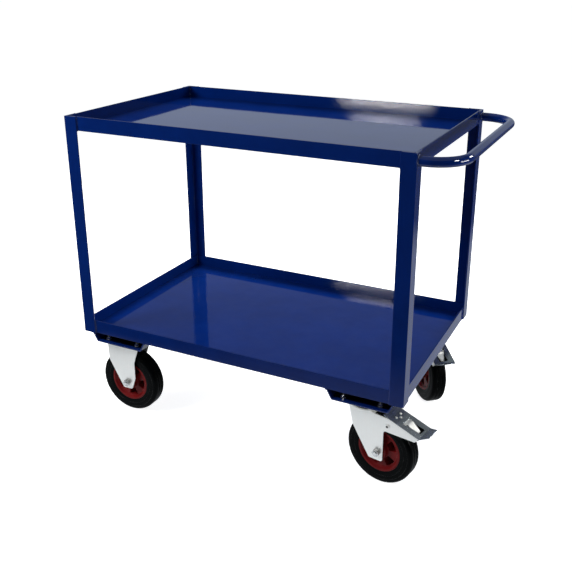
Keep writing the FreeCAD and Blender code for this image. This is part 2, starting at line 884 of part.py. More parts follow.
def brake_pedal():
    """The foot plate with its window, turned-up lip and two ears on the pivot, on the pedal's own axes."""
    turn = math.radians(lip_turn)
    top = pedal_rise
    low = pedal_rise - pedal_thickness
    lip_x = pedal_back + lip_length * math.cos(turn)
    lip_z = top + lip_length * math.sin(turn)
    half = pedal_half
    plate = standing([
        (-pedal_front, top, 0),
        (pedal_back, top, 0),
        (lip_x, lip_z, 0),
        (lip_x + pedal_thickness * math.sin(turn), lip_z - pedal_thickness * math.cos(turn), 0),
        (pedal_back + pedal_thickness * math.tan(turn / 2), low, 0),
        (-pedal_front, low, 0)], -half, half)
    tip = lip_x + pedal_thickness
    plan = [
        (-pedal_front, -half, pedal_corner_radius),
        (pedal_back, -half, pedal_corner_radius),
        (tip, -lip_width / 2, lip_corner_radius),
        (tip, lip_width / 2, lip_corner_radius),
        (pedal_back, half, pedal_corner_radius),
        (-pedal_front, half, pedal_corner_radius),
    ]
    plate = plate.common(flat(plan, 0, lip_z + pedal_thickness))
    for end, width in ((slot_end, slot_width), (window_end, window_width)):
        side = width / 2
        plate = plate.cut(flat([
            (window_start, -side, window_radius), (end, -side, window_radius),
            (end, side, window_radius), (window_start, side, window_radius)], low, top))
    ear_outer = fork_gap / 2 - ear_clearance
    pieces = [plate]
    for inner in (ear_outer - ear_thickness, -ear_outer):
        ear = standing([
            (-ear_front, low + pedal_thickness / 2, 0), (ear_back, low + pedal_thickness / 2, 0),
            (ear_radius, 0, ear_radius / 2), (0, -ear_radius, ear_radius / 2),
            (-ear_radius, 0, ear_radius / 2)], inner, inner + ear_thickness)
        pieces.append(ear)
    shape = join(pieces)
    pivot_radius = pivot_diameter / 2 + fastener_clearance
    shape = shape.cut(rod((0, -half, 0), Y, pivot_radius, 2 * half))
    return rivet_holes(shape)


def brake_leaf():
    """The spring leaf riveted under the pedal: it rises through the slot to a crest, then tapers down."""
    top = pedal_rise - pedal_thickness
    thick = leaf_thickness
    crest = pedal_rise + leaf_crest_rise
    crest_end = slot_end + leaf_crest_length
    step_end = crest_end + leaf_step_length
    step = pedal_rise - leaf_step_drop
    tip = pedal_rise - leaf_tip_drop
    bend = leaf_bend_radius
    upper = [
        (-leaf_front, top, 0),
        (window_start + thick, top, bend),
        (slot_end, crest, bend),
        (crest_end, crest, bend),
        (step_end, step, bend),
        (leaf_tip, tip, 0),
    ]
    lower = [(x, z - thick, corner) for x, z, corner in reversed(upper)]
    wide = leaf_width / 2
    strip = standing(upper + lower, -leaf_head_width / 2, leaf_head_width / 2)
    head = leaf_head_width / 2
    head_end = slot_end - leaf_head_gap
    narrow = leaf_tip_width / 2
    plan = flat([
        (-leaf_front, -head, 0),
        (head_end, -head, leaf_tip_radius),
        (head_end, -wide, 0),
        (step_end, -wide, 0),
        (leaf_tip, -narrow, leaf_tip_radius),
        (leaf_tip, narrow, leaf_tip_radius),
        (step_end, wide, 0),
        (head_end, wide, 0),
        (head_end, head, leaf_tip_radius),
        (-leaf_front, head, 0)], 0, crest)
    return rivet_holes(strip.common(plan))


def brake_shoe():
    """The block under the leaf whose hollow face presses the tread."""
    top = pedal_rise - pedal_thickness - leaf_thickness
    half = shoe_width / 2
    block = box((shoe_start, -half, 0), (shoe_start + shoe_length, half, top))
    axle = pedal_place().inverse().multVec(Vector(fork_trail, 0, wheel_radius))
    block = block.cut(rod((axle.x, -half, axle.z), Y, wheel_radius + shoe_tyre_gap, 2 * half))
    return rivet_holes(block)


def brake_rivets():
    """The leaf's rivets and the two stub pins that the pedal turns on."""
    rivets = []
    low = pedal_rise - pedal_thickness - leaf_thickness - rivet_depth
    for x, y in rivet_places():
        shank = rod((x, y, low), Z, rivet_diameter / 2, pedal_rise - low)
        head = rod((x, y, pedal_rise), Z, rivet_head_diameter / 2, rivet_head_height)
        head = rounded(head, rivet_head_radius, lambda edge: edge.BoundBox.ZMin > pedal_rise + tiny
                       and along_rim(edge, rivet_head_diameter / 2))
        rivets.append(join([shank, head]))
    inner = fork_gap / 2 - ear_clearance - ear_thickness
    for start, axis in (((0, inner, 0), Y), ((0, -inner, 0), -Y)):
        stub = rod(start, axis, pivot_diameter / 2, cheek_outer + fastener_clearance - inner)
        cap_start = Vector(0, axis.y * (cheek_outer + fastener_clearance), 0)
        cap = rod(cap_start, axis, pivot_head_diameter / 2, pivot_head_height)
        rivets.append(join([stub, cap]))
    return rivets


def swivel_castors():
    """The two braked swivel castors at the handle end, each turned as it was parked."""
    group = {"kingpins": [], "kingpin_washers": [], "kingpin_nuts": [], "swivel_balls": []}
    for side, turn in (("front", swivel_turn_front), ("back", swivel_turn_back)):
        corner = side + "_right"
        still = Placement(castor_places()[corner], Rotation())
        place = Placement(castor_places()[corner], Rotation(Z, turn))
        save("swivel_plate_" + side, placed(swivel_plate(), still))
        group["kingpins"].append(placed(kingpin_shape(0), still))
        group["kingpin_washers"].append(placed(kingpin_washer(), still))
        group["kingpin_nuts"].append(placed(kingpin_nut(), still))
        group["swivel_balls"].extend(placed(ball, still) for ball in balls())
        save("swivel_fork_" + side, placed(fork(), place))
        for name, piece in zip(("bolt", "nut", "sleeve"), axle_parts(fork_trail)):
            save("swivel_axle_" + name + "_" + side, placed(piece, place))
        pedal = place.multiply(pedal_place())
        save("brake_pedal_" + side, placed(brake_pedal(), pedal))
        save("brake_leaf_" + side, placed(brake_leaf(), pedal))
        save("brake_shoe_" + side, placed(brake_shoe(), pedal))
        save("brake_rivets_" + side, *[placed(rivet, pedal) for rivet in brake_rivets()])
        wheel(corner, place.multiply(Placement(Vector(fork_trail, 0, wheel_radius), Rotation())))
    for name, solids in group.items():
        save(name, *solids)


os.makedirs("parts", exist_ok=True)
legs()
tray("upper", leg_top - rail_height)
tray("lower", leg_bottom)
push_handle()
channels()
castor_fasteners()
fixed_castors()
swivel_castors()
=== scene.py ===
"""The looks of a two-tier shelf trolley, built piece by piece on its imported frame."""

import json
import math

import bmesh
import bpy
from bpy.props import FloatProperty, FloatVectorProperty, IntProperty, PointerProperty
from bpy.types import Operator, Panel, PropertyGroup
from mathutils import Matrix, Vector


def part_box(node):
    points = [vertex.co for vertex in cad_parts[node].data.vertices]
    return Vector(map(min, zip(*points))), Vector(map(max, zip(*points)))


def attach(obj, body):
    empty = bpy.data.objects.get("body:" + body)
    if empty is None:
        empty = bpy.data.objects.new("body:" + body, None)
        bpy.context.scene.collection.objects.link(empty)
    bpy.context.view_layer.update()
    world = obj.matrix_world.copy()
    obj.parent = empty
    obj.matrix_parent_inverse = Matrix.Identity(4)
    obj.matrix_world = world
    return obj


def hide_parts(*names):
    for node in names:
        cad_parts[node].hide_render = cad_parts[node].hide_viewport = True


bl_info = {
    "name": "Shelf trolley",
    "version": (1, 0, 0),
    "blender": (4, 5, 0),
    "location": "3D View > Sidebar > Trolley",
    "description": "Dresses the packed frame of a two-tier shelf trolley",
    "category": "Object",
}

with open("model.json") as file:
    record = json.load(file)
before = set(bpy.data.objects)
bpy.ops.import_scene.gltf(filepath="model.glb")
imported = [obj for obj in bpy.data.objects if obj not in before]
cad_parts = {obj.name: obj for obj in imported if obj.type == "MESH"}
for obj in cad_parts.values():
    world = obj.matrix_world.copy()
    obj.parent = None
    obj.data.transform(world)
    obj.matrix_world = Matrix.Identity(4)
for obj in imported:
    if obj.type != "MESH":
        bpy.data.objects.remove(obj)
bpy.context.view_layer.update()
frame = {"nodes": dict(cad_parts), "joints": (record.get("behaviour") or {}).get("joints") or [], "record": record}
joints = {joint["name"]: joint for joint in frame["joints"]}

CORNERS = ("front_left", "back_left", "front_right", "back_right")
SIDES = ("front", "back")
ENDS = ("left", "right")
TIERS = ("upper", "lower")
UP = Vector((0, 0, 1))

# Places read from the frame
LEFT_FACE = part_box("leg_front_left")[0].x
RIGHT_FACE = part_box("leg_front_right")[1].x
FRONT_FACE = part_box("leg_front_left")[0].y
LEG_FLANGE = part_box("leg_front_left")[1].x - LEFT_FACE
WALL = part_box("upper_rail_front")[0].y - FRONT_FACE
UPPER_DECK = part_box("upper_deck")[1].z
LOWER_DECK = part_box("lower_deck")[1].z
UPPER_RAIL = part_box("upper_rail_front")
LOWER_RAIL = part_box("lower_rail_front")
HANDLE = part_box("push_handle")
HANDLE_TUBE = HANDLE[1].z - HANDLE[0].z
HANDLE_HEIGHT = (HANDLE[1].z + HANDLE[0].z) / 2

# Steps round a hexagon, a thread or a small circle, and how a hexagon's corners are turned off
RING_STEPS = 48
TURNED_SHARE = 0.97
CORNER_CONE = math.radians(30)

# Bolts, washers and nuts of the castor plates
FASTENER_SEED = 4
HOLE_HALF_LENGTH = 0.0525
HOLE_HALF_WIDTH = 0.04
PLATE_BOLT_FLATS = 0.013
PLATE_BOLT_HEAD = 0.0053
PLATE_BOLT_RADIUS = 0.004
PLATE_BOLT_THREAD = 0.0055
PLATE_NUT_BORE = 0.0041
WASHER_RADIUS = 0.0085
WASHER_BORE = 0.0042

# Bolts and nuts of the axles
CHEEK_FACE = 0.0325
AXLE_FLATS = 0.019
AXLE_HEAD = 0.0075
AXLE_RADIUS = 0.006
AXLE_THREAD = 0.0145
AXLE_END = 0.013
AXLE_NUT_HEIGHT = 0.01
AXLE_NUT_BORE = 0.0061

# Seals of the swivels
SEAL_INNER = 0.0384
SEAL_OUTER = 0.0412
SEAL_GAP = 0.0001
SEAL_STEPS = 72

# Dark trays of painted shade under the pedals' windows, and pivot plugs of the pedals, measured from the pivot
# along, across and out of the plate
PEDAL_SLOPE = math.radians(18)
TRAY_NEAR = 0.0345
TRAY_FAR = 0.0865
TRAY_SHOULDER = 0.0405
TRAY_HALF_WIDTH = 0.0265
TRAY_FLOOR = 0.0136
TRAY_BRIM = 0.0192
TRAY_TOP = 0.0232
TRAY_WALL = 0.0012
TRAY_EDGE = 0.0003
PLUG_BORE = 0.0004
PLUG_RADIUS = 0.0034
PLUG_BACK = 0.0344
PLUG_FACE = 0.0357
PLUG_RIM = 0.0355
PLUG_STEPS = 40

# Tyres and wheel centres, as radii and as distances from the wheel's middle
TYRE_RADIUS = 0.1
TYRE_SIDE = 0.023
FLANK_RADIUS = 0.0697
FLANK_ROUND = 0.004
SHOULDER_ROUND = 0.0099
RING_ROUND = 0.0003
GROOVE_SLOPE = 0.0003
SIDEWALL_RINGS = (((0.0745, 0.075, 0.0764, 0.0769), 1.0), ((0.0865, 0.0869, 0.0877, 0.0881), 0.7))
SEAT_GAP = 0.0002
SEAT_RADIUS = 0.0613
LIP_RADIUS = 0.0635
LIP_SIDE = 0.022
LIP_STEP = 0.0188
BORE_RADIUS = 0.01512
HUB_FACE = 0.028
HUB_TOP = 0.02352
HUB_FOOT = 0.02552
DISH_FOOT = 0.051
DISH_TOP = 0.058
POCKET_START = (0.0275, 0.0288)
POCKET_END = (0.0482, 0.0496)
WHEEL_TURNS = {"front_left": -9, "back_left": 16, "front_right": 28, "back_right": -19}

# Welds
WELD_INSET = 0.001
CORNER_WELD_INSET = 0.0015
CHANNEL_WELD = 0.036

# The camera
SENSOR = 36
LENS = 49.606
SHIFT = (-0.0245, -0.0683)
CAMERA_PLACE = (0.9736, -2.0009, 1.3357)
CAMERA_RIGHT = (0.9009, 0.4339, 0.0033)
CAMERA_UP = (-0.1509, 0.3063, 0.9399)
CAMERA_BEHIND = (0.4069, -0.8473, 0.3414)

# Where lamps are aimed, and how far the strip lamps are turned
FRAME_MIDDLE = (-0.1, 0, 0.55)
FRAME_LOW = (-0.1, 0, 0.5)
HANDLE_END = (0.3, 0, 0.6)
BACK_RAILS = (-0.05, 0.3, 0.7)
FRONT_CORNER = (0.5, -0.3, 0.8)
STRIP_TILT = math.radians(2.5)

# The floor: its half width, the middle of its pool of light, and the line and ends of its bright skirt
FLOOR_REACH = 30.0
POOL_MIDDLE = (0.35, 0.6, 0.0)
SKIRT_LINE = -0.47
SKIRT_PAST_END = 0.15


def length_setting(label, says, default):
    """A length that a user may change."""
    return FloatProperty(name=label, description=says, default=default, unit="LENGTH")


def angle_setting(label, says, degrees):
    """An angle that a user may change."""
    return FloatProperty(name=label, description=says, default=math.radians(degrees), subtype="ANGLE")


def count_setting(label, says, default, least):
    """A count that a user may change."""
    return IntProperty(name=label, description=says, default=default, min=least)


def colour_setting(label, says, default):
    """A colour that a user may change."""
    return FloatVectorProperty(
        name=label, description=says, default=default, subtype="COLOR", min=0, max=1)


def power_setting(label, says, default):
    """A lamp's power that a user may change."""
    return FloatProperty(name=label, description=says, default=default, unit="POWER")


def level_setting(label, says, default):
    """A brightness or share that a user may change."""
    return FloatProperty(name=label, description=says, default=default, min=0)


class TrolleySizes(PropertyGroup):
    """Sizes of the details that the looks add to the frame."""

    steel_edge: length_setting(
        "Steel edge", "Rounding on the cut edges of the angle iron", 0.0008)
    sheet_edge: length_setting(
        "Sheet edge", "Rounding on the edges of pressed and folded sheet", 0.0005)
    deck_edge: length_setting(
        "Deck edge", "Rounding on the decks' edges, which leaves a line along the rails", 0.0009)
    spokes: count_setting(
        "Spokes", "Spokes on each side of a wheel centre", 5, 3)
    pocket_mouth: angle_setting(
        "Pocket mouth", "Width of the pocket between two spokes, at the spokes' faces", 38.5)
    pocket_floor: angle_setting(
        "Pocket floor", "Width of the pocket between two spokes, at its floor", 25)
    pocket_skin: length_setting(
        "Pocket skin", "Thickness of a pocket's floor", 0.0035)
    spoke_face: length_setting(
        "Spoke face", "Distance of the spokes' faces from the wheel's middle", 0.015)
    weld_leg: length_setting(
        "Weld leg", "How far a weld bead reaches up each face", 0.0027)
    weld_pitch: length_setting(
        "Weld pitch", "Distance between the ripples of a weld bead", 0.0026)
    handle_bend: length_setting(
        "Handle bend", "Radius of the handle's bends along the tube's middle", 0.084)
    handle_tube: length_setting(
        "Handle tube", "Outer diameter of the handle's tube", HANDLE_TUBE)
    thread_pitch: length_setting(
        "Thread pitch", "Pitch of the thread on the plate bolts", 0.00125)
    axle_thread_pitch: length_setting(
        "Axle thread pitch", "Pitch of the thread on the axle bolts", 0.00175)
    sidewall_ring: length_setting(
        "Sidewall ring", "Height of the moulded rings on the tyres' sides", 0.0009)
    groove_pitch: length_setting(
        "Groove pitch", "Distance between the two grooves round the tread", 0.0117)
    groove_width: length_setting(
        "Groove width", "Width of each groove round the tread", 0.0032)
    groove_depth: length_setting(
        "Groove depth", "Depth of each groove round the tread", 0.0026)
    round_steps: count_setting(
        "Round steps", "Faces round a tyre", 112, 16)


class TrolleyColours(PropertyGroup):
    """Colours of the trolley's finishes."""

    paint: colour_setting(
        "Paint", "Gloss paint on the frame and decks", (0.0008, 0.018, 0.15))
    # Paint edge: partly paint pulled thin, partly a painted highlight
    paint_edge: colour_setting(
        "Paint edge", "Paint pulled thin over the edges", (0.012, 0.045, 0.24))
    zinc: colour_setting(
        "Zinc", "Bright zinc on the forks, brackets and plates", (0.99, 0.97, 0.935))
    zinc_dark: colour_setting(
        "Dull zinc", "Duller zinc on the pedals", (0.34, 0.37, 0.4))
    fastener: colour_setting(
        "Fasteners", "Zinc on the bolts and nuts", (0.68, 0.68, 0.68))
    leaf: colour_setting(
        "Brake leaf", "Pale zinc on the brakes' spring leaves", (0.98, 0.965, 0.91))
    rubber: colour_setting(
        "Rubber", "Black rubber tyres", (0.0012, 0.0017, 0.002))
    plastic: colour_setting(
        "Plastic", "Dark red plastic wheel centres", (0.185, 0.009, 0.010))
    # The pedal trays in this colour are painted shade under the pedals' windows
    block: colour_setting(
        "Brake block", "Brake blocks, trays, plugs and swivel seals", (0.012, 0.012, 0.012))
    steel: colour_setting(
        "Steel", "Balls, rollers and sleeves", (0.55, 0.55, 0.57))
    floor: colour_setting(
        "Floor", "Pale studio floor", (0.5, 0.5, 0.5))


class TrolleyLight(PropertyGroup):
    """Levels of the studio light."""

    ambient: level_setting(
        "Ambient", "Even light from all round", 0.22)
    key_power: power_setting(
        "Key lamp", "Soft lamp high at the front left", 38)
    side_power: power_setting(
        "Side lamp", "Soft low lamp at the handle end", 26)
    back_power: power_setting(
        "Back lamp", "Wide lamp behind, over both decks", 100)
    strip_power: power_setting(
        "Strip lamps", "Thin lamp at the front left, which the back rails show", 2.4)
    strip_share: level_setting(
        "Upper strip", "Share of that power on a second strip, which the decks show under the rails", 0.6)
    glint_power: power_setting(
        "Glint lamps", "Two small lamps beyond the handle, seen in gloss alone", 38)
    far_level: level_setting(
        "Far floor", "Brightness of the floor far behind, as gloss shows it", 0.085)
    wall_level: level_setting(
        "Back wall", "Brightness low on the wall behind, as gloss shows it", 0.46)
    wall_top_level: level_setting(
        "Back wall top", "Brightness high on the wall behind, as gloss shows it", 0.16)
    ceiling_level: level_setting(
        "Ceiling", "Brightness of the ceiling, as gloss shows it", 0.32)
    floor_level: level_setting(
        "Floor", "Brightness of the floor by the trolley, as gloss shows it", 0.5)
    dark_level: level_setting(
        "Dark side", "Brightness of the room behind the camera, as gloss shows it", 0.03)
    floor_lift: level_setting(
        "Floor lift", "Share of the floor's white that the lamps don't give", 0.85)
    skirt_level: level_setting(
        "Floor skirt", "Brightness of the floor round the castors, as gloss shows it", 0.95)


def link(name, mesh):
    """An object for a mesh, in the scene at the origin."""
    piece = bpy.data.objects.new(name, mesh)
    bpy.context.scene.collection.objects.link(piece)
    return piece


def body_of(node):
    """The body that carries a node."""
    for body, nodes in frame["record"]["behaviour"]["bodies"].items():
        if node in nodes:
            return body
    raise RuntimeError("no body carries " + node)


def settle(piece, body, slot, *nodes):
    """Ride a finished piece on its body and hide the nodes it stands for."""
    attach(piece, body)
    if nodes:
        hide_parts(*nodes)
    return piece


def dress(piece, material):
    """Give every face of a piece one material."""
    piece.data.materials.clear()
    piece.data.materials.append(material)
    return piece


def mesh_from(work, name):
    """A mesh from a finished bmesh."""
    mesh = bpy.data.meshes.new(name)
    work.to_mesh(mesh)
    work.free()
    return mesh


def merged_mesh(node, name):
    """A node's mesh with its loose triangles merged into whole smooth faces."""
    work = bmesh.new()
    work.from_mesh(frame["nodes"][node].data)
    bmesh.ops.remove_doubles(work, verts=work.verts, dist=2e-6)
    bmesh.ops.dissolve_limit(work, angle_limit=math.radians(0.4), verts=work.verts, edges=work.edges)
    for face in work.faces:
        face.smooth = True
    return mesh_from(work, name)


def even_normals(piece):
    """Keep wide faces flat where they meet narrow rounded ones."""
    weighted = piece.modifiers.new("even_normals", "WEIGHTED_NORMAL")
    weighted.mode = "FACE_AREA"
    weighted.weight = 100
    weighted.keep_sharp = False
    return piece


def round_edges(piece, width):
    """Round the sharp edges of a piece."""
    bevel = piece.modifiers.new("rounded_edges", "BEVEL")
    bevel.width = width
    bevel.segments = 2
    bevel.limit_method = "ANGLE"
    bevel.angle_limit = math.radians(35)
    bevel.use_clamp_overlap = False
    return even_normals(piece)


def rounded_node(node, ending, finish_name, slot, width):
    """A piece that stands for a node, with its edges rounded."""
    name = node + "_" + ending
    piece = link(name, merged_mesh(node, name))
    dress(piece, finish(finish_name))
    round_edges(piece, width)
    return settle(piece, body_of(node), slot, node)


def band(work, loops):
    """Faces between each loop of points and the next."""
    count = len(loops[0])
    for first, second in zip(loops, loops[1:]):
        for index in range(count):
            after = (index + 1) % count
            work.faces.new((first[index], first[after], second[after], second[index]))


def skin(rings, name, closed):
    """A mesh over rings of points, closed into a loop of rings or capped at both ends."""
    work = bmesh.new()
    loops = [[work.verts.new(point) for point in ring] for ring in rings]
    if closed:
        band(work, loops + loops[:1])
    else:
        band(work, loops)
        work.faces.new(loops[0])
        work.faces.new(loops[-1])
    bmesh.ops.recalc_face_normals(work, faces=work.faces)
    for face in work.faces:
        face.smooth = True
    return mesh_from(work, name)


def rounded_outline(corners, steps):
    """The points of a closed outline of (x, y, corner radius) corners."""
    points = []
    count = len(corners)
    for index in range(count):
        here = Vector(corners[index][:2])
        radius = corners[index][2]
        if radius == 0:
            points.append(here)
            continue
        back = (Vector(corners[index - 1][:2]) - here).normalized()
        ahead = (Vector(corners[(index + 1) % count][:2]) - here).normalized()
        half = back.angle(ahead) / 2
        middle = here + (back + ahead).normalized() * (radius / math.sin(half))
        start = here + back * (radius / math.tan(half)) - middle
        sweep = start.angle_signed(here + ahead * (radius / math.tan(half)) - middle)
        for step in range(steps + 1):
            turn = Matrix.Rotation(-sweep * step / steps, 2)
            points.append(middle + turn @ start)
    return points


def turned_mesh(outline, name, steps, place):
    """An outline of (radius, place along Y) points turned about Y, and put in place."""
    rings = []
    for step in range(steps):
        angle = 2 * math.pi * step / steps
        ring = [place @ Vector((r * math.cos(angle), y, r * math.sin(angle))) for r, y in outline]
        rings.append(ring)
    return skin(rings, name, True)


def wheel_place(corner):
    """The middle of a wheel, with Y along its axle."""
    joint = joints["wheel_" + corner + "_spin"]
    axle = Vector(joint["axis"])
    turn = Matrix((axle.cross(UP), axle, UP)).transposed().to_4x4()
    return Matrix.Translation(Vector(joint["pos_m"])) @ turn


def ring_angles():
    """The angles of the points round a ring."""
    return [2 * math.pi * step / RING_STEPS for step in range(RING_STEPS)]


def circle_ring(radius, height):
    """A ring of points round a circle."""
    return [Vector((radius * math.cos(angle), radius * math.sin(angle), height)) for angle in ring_angles()]


def hexagon_ring(flats, height, drop_from=None, direction=0):
    """A ring of points round a hexagon, with its corners dropped where a cone turns them off."""
    ring = []
    for angle in ring_angles():
        reach = flats / 2 / math.cos(angle % (math.pi / 3) - math.pi / 6)
        drop = 0.0
        if drop_from is not None:
            drop = max(0.0, reach - drop_from) * math.tan(CORNER_CONE)
        ring.append(Vector((reach * math.cos(angle), reach * math.sin(angle), height + direction * drop)))
    return ring


def thread_rings(radius, pitch, low, high):
    """Rings up a screw thread, with its end turned off."""
    rings = []
    depth = 0.55 * pitch
    count = max(6, round((high - low) / pitch * 8))
    for index in range(count + 1):
        height = low + (high - low) * index / count
        limit = radius - max(0.0, height - high + 1.2 * depth)
        ring = []
        for step, angle in enumerate(ring_angles()):
            phase = (height / pitch - step / RING_STEPS) % 1.0
            groove = depth * (1 - abs(2 * phase - 1))
            reach = min(limit, radius - groove * min(1.0, (height - low) / pitch))
            ring.append(Vector((reach * math.cos(angle), reach * math.sin(angle), height)))
        rings.append(ring)
    return rings


def bolt_mesh(name, flats, head, radius, length, thread, pitch):
    """A hexagon bolt standing on its head, with the end of its shank threaded."""
    turned_off = flats / 2 * TURNED_SHARE
    rings = [
        circle_ring(turned_off * 0.96, 0.00008),
        circle_ring(turned_off, 0),
        hexagon_ring(flats, 0, turned_off, 1),
        hexagon_ring(flats, head * 0.96),
        hexagon_ring(flats * 0.985, head),
        circle_ring(radius, head),
    ]
    rings += thread_rings(radius, pitch, length - thread, length)
    return skin(rings, name, False)


def nut_mesh(name, flats, height, bore):
    """A hexagon nut with both faces turned off and its bore countersunk."""
    turned_off = flats / 2 * TURNED_SHARE
    sink = bore * 1.12
    depth = 0.0006
    rings = [
        circle_ring(bore, depth),
        circle_ring(sink, 0),
        circle_ring(turned_off, 0),
        hexagon_ring(flats, 0, turned_off, 1),
        hexagon_ring(flats, height, turned_off, -1),
        circle_ring(turned_off, height),
        circle_ring(sink, height),
        circle_ring(bore, height - depth),
    ]
    return skin(rings, name, True)


def washer_mesh(name, radius, bore, height):
    """A stamped washer with softened rims."""
    soft = height * 0.2
    rings = [
        circle_ring(bore, 0),
        circle_ring(radius - soft, 0),
        circle_ring(radius, soft),
        circle_ring(radius, height - soft),
        circle_ring(radius - soft, height),
        circle_ring(bore + soft, height),
        circle_ring(bore, height - soft),
    ]
    return skin(rings, name, True)


def path_mesh(name, paths):
    """Edges along paths of points. A path that ends where it starts is closed."""
    points = []
    edges = []
    for path in paths:
        first = len(points)
        closed = (Vector(path[0]) - Vector(path[-1])).length < 1e-9
        run = path[:-1] if closed else path
        points += [Vector(point) for point in run]
        edges += [(first + index, first + index + 1) for index in range(len(run) - 1)]
        if closed:
            edges.append((first + len(run) - 1, first))
    mesh = bpy.data.meshes.new(name)
    mesh.from_pydata(points, edges, [])
    return mesh


def join(tree, source, target):
    """Set a socket to a value, or link it to another socket."""
    if isinstance(source, bpy.types.NodeSocket):
        tree.links.new(source, target)
    else:
        target.default_value = source


def add(tree, kind, values=None, **settings):
    """A node in a tree with its settings, and with values or sockets on its inputs."""
    node = tree.nodes.new(kind)
    for setting, value in settings.items():
        setattr(node, setting, value)
    for label, value in (values or {}).items():
        join(tree, value, node.inputs[label])
    return node


def maths(tree, operation, *values):
    """A sum on numbers or sockets."""
    node = add(tree, "ShaderNodeMath", dict(enumerate(values)), operation=operation)
    return node.outputs["Value"]


def chance(tree, low, high, seed):
    """A number for each point, by chance between two others."""
    node = add(tree, "FunctionNodeRandomValue", {"Seed": seed}, data_type="FLOAT")
    numbers = [socket for socket in node.inputs if socket.type == "VALUE"]
    join(tree, low, numbers[0])
    join(tree, high, numbers[1])
    return [socket for socket in node.outputs if socket.type == "VALUE"][0]


def new_tree(name, inputs):
    """A Geometry Nodes tree with named inputs, the sockets that give them and those for its results."""
    tree = bpy.data.node_groups.new(name, "GeometryNodeTree")
    tree.interface.new_socket(name="Geometry", in_out="INPUT", socket_type="NodeSocketGeometry")
    for label, kind in inputs:
        tree.interface.new_socket(name=label, in_out="INPUT", socket_type="NodeSocket" + kind)
    tree.interface.new_socket(name="Geometry", in_out="OUTPUT", socket_type="NodeSocketGeometry")
    return tree, add(tree, "NodeGroupInput").outputs, add(tree, "NodeGroupOutput").inputs


def finish_tree(tree, start, end, geometry):
    """Realise what a tree has made, smooth it and give it its material."""
    real = add(tree, "GeometryNodeRealizeInstances", {"Geometry": geometry})
    smooth = add(tree, "GeometryNodeSetShadeSmooth", {
        "Geometry": real.outputs["Geometry"],
        "Shade Smooth": True,
    })
    paint = add(tree, "GeometryNodeSetMaterial", {
        "Geometry": smooth.outputs["Geometry"],
        "Material": start["Finish"],
    })
    join(tree, paint.outputs["Geometry"], end["Geometry"])
    return tree


def fastener_tree():
    """One fastener set on every point, each turned a little by chance."""
    tree, start, end = new_tree("fasteners_on_points", (
        ("Fastener", "Object"), ("Largest turn", "Float"), ("Seed", "Int"), ("Finish", "Material")))
    points = add(tree, "GeometryNodeMeshToPoints", {"Mesh": start["Geometry"]})
    fastener = add(tree, "GeometryNodeObjectInfo", {"Object": start["Fastener"]})
    turn = add(tree, "ShaderNodeCombineXYZ", {"Z": chance(tree, 0, start["Largest turn"], start["Seed"])})
    rotation = add(tree, "FunctionNodeEulerToRotation", {"Euler": turn.outputs["Vector"]})
    place = add(tree, "GeometryNodeInstanceOnPoints", {
        "Points": points.outputs["Points"],
        "Instance": fastener.outputs["Geometry"],
        "Rotation": rotation.outputs["Rotation"],
    })
    return finish_tree(tree, start, end, place.outputs["Instances"])


def weld_tree():
    """A bead of overlapping ripples along each path."""
    tree, start, end = new_tree("weld_bead", (
        ("Leg", "Float"), ("Pitch", "Float"), ("Seed", "Int"), ("Finish", "Material")))
    curve = add(tree, "GeometryNodeMeshToCurve", {"Mesh": start["Geometry"]})
    points = add(tree, "GeometryNodeCurveToPoints", mode="LENGTH")
    join(tree, curve.outputs["Curve"], points.inputs["Curve"])
    join(tree, start["Pitch"], points.inputs["Length"])
    ripple = add(tree, "GeometryNodeMeshUVSphere", {"Segments": 12, "Rings": 7, "Radius": 1.0})
    size = maths(tree, "MULTIPLY", start["Leg"], chance(tree, 0.86, 1.14, start["Seed"]))
    along = maths(tree, "MULTIPLY", start["Pitch"], 0.95)
    scale = add(tree, "ShaderNodeCombineXYZ", {"X": size, "Y": size, "Z": along})
    place = add(tree, "GeometryNodeInstanceOnPoints", {
        "Points": points.outputs["Points"],
        "Instance": ripple.outputs["Mesh"],
        "Rotation": points.outputs["Rotation"],
        "Scale": scale.outputs["Vector"],
    })
    return finish_tree(tree, start, end, place.outputs["Instances"])


def tube_tree():
    """A round tube along each path, with its corners bent."""
    tree, start, end = new_tree("bent_tube", (
        ("Diameter", "Float"), ("Bend", "Float"), ("Bend steps", "Int"), ("Faces round", "Int"),
        ("Finish", "Material")))
    curve = add(tree, "GeometryNodeMeshToCurve", {"Mesh": start["Geometry"]})
    bends = add(tree, "GeometryNodeFilletCurve", mode="POLY")
    join(tree, curve.outputs["Curve"], bends.inputs["Curve"])
    join(tree, start["Bend"], bends.inputs["Radius"])
    join(tree, start["Bend steps"], bends.inputs["Count"])
    ring = add(tree, "GeometryNodeCurvePrimitiveCircle", {
        "Radius": maths(tree, "MULTIPLY", start["Diameter"], 0.5),
        "Resolution": start["Faces round"],
    })
    tube = add(tree, "GeometryNodeCurveToMesh", {
        "Curve": bends.outputs["Curve"],
        "Profile Curve": ring.outputs["Curve"],
        "Fill Caps": True,
    })
    return finish_tree(tree, start, end, tube.outputs["Mesh"])


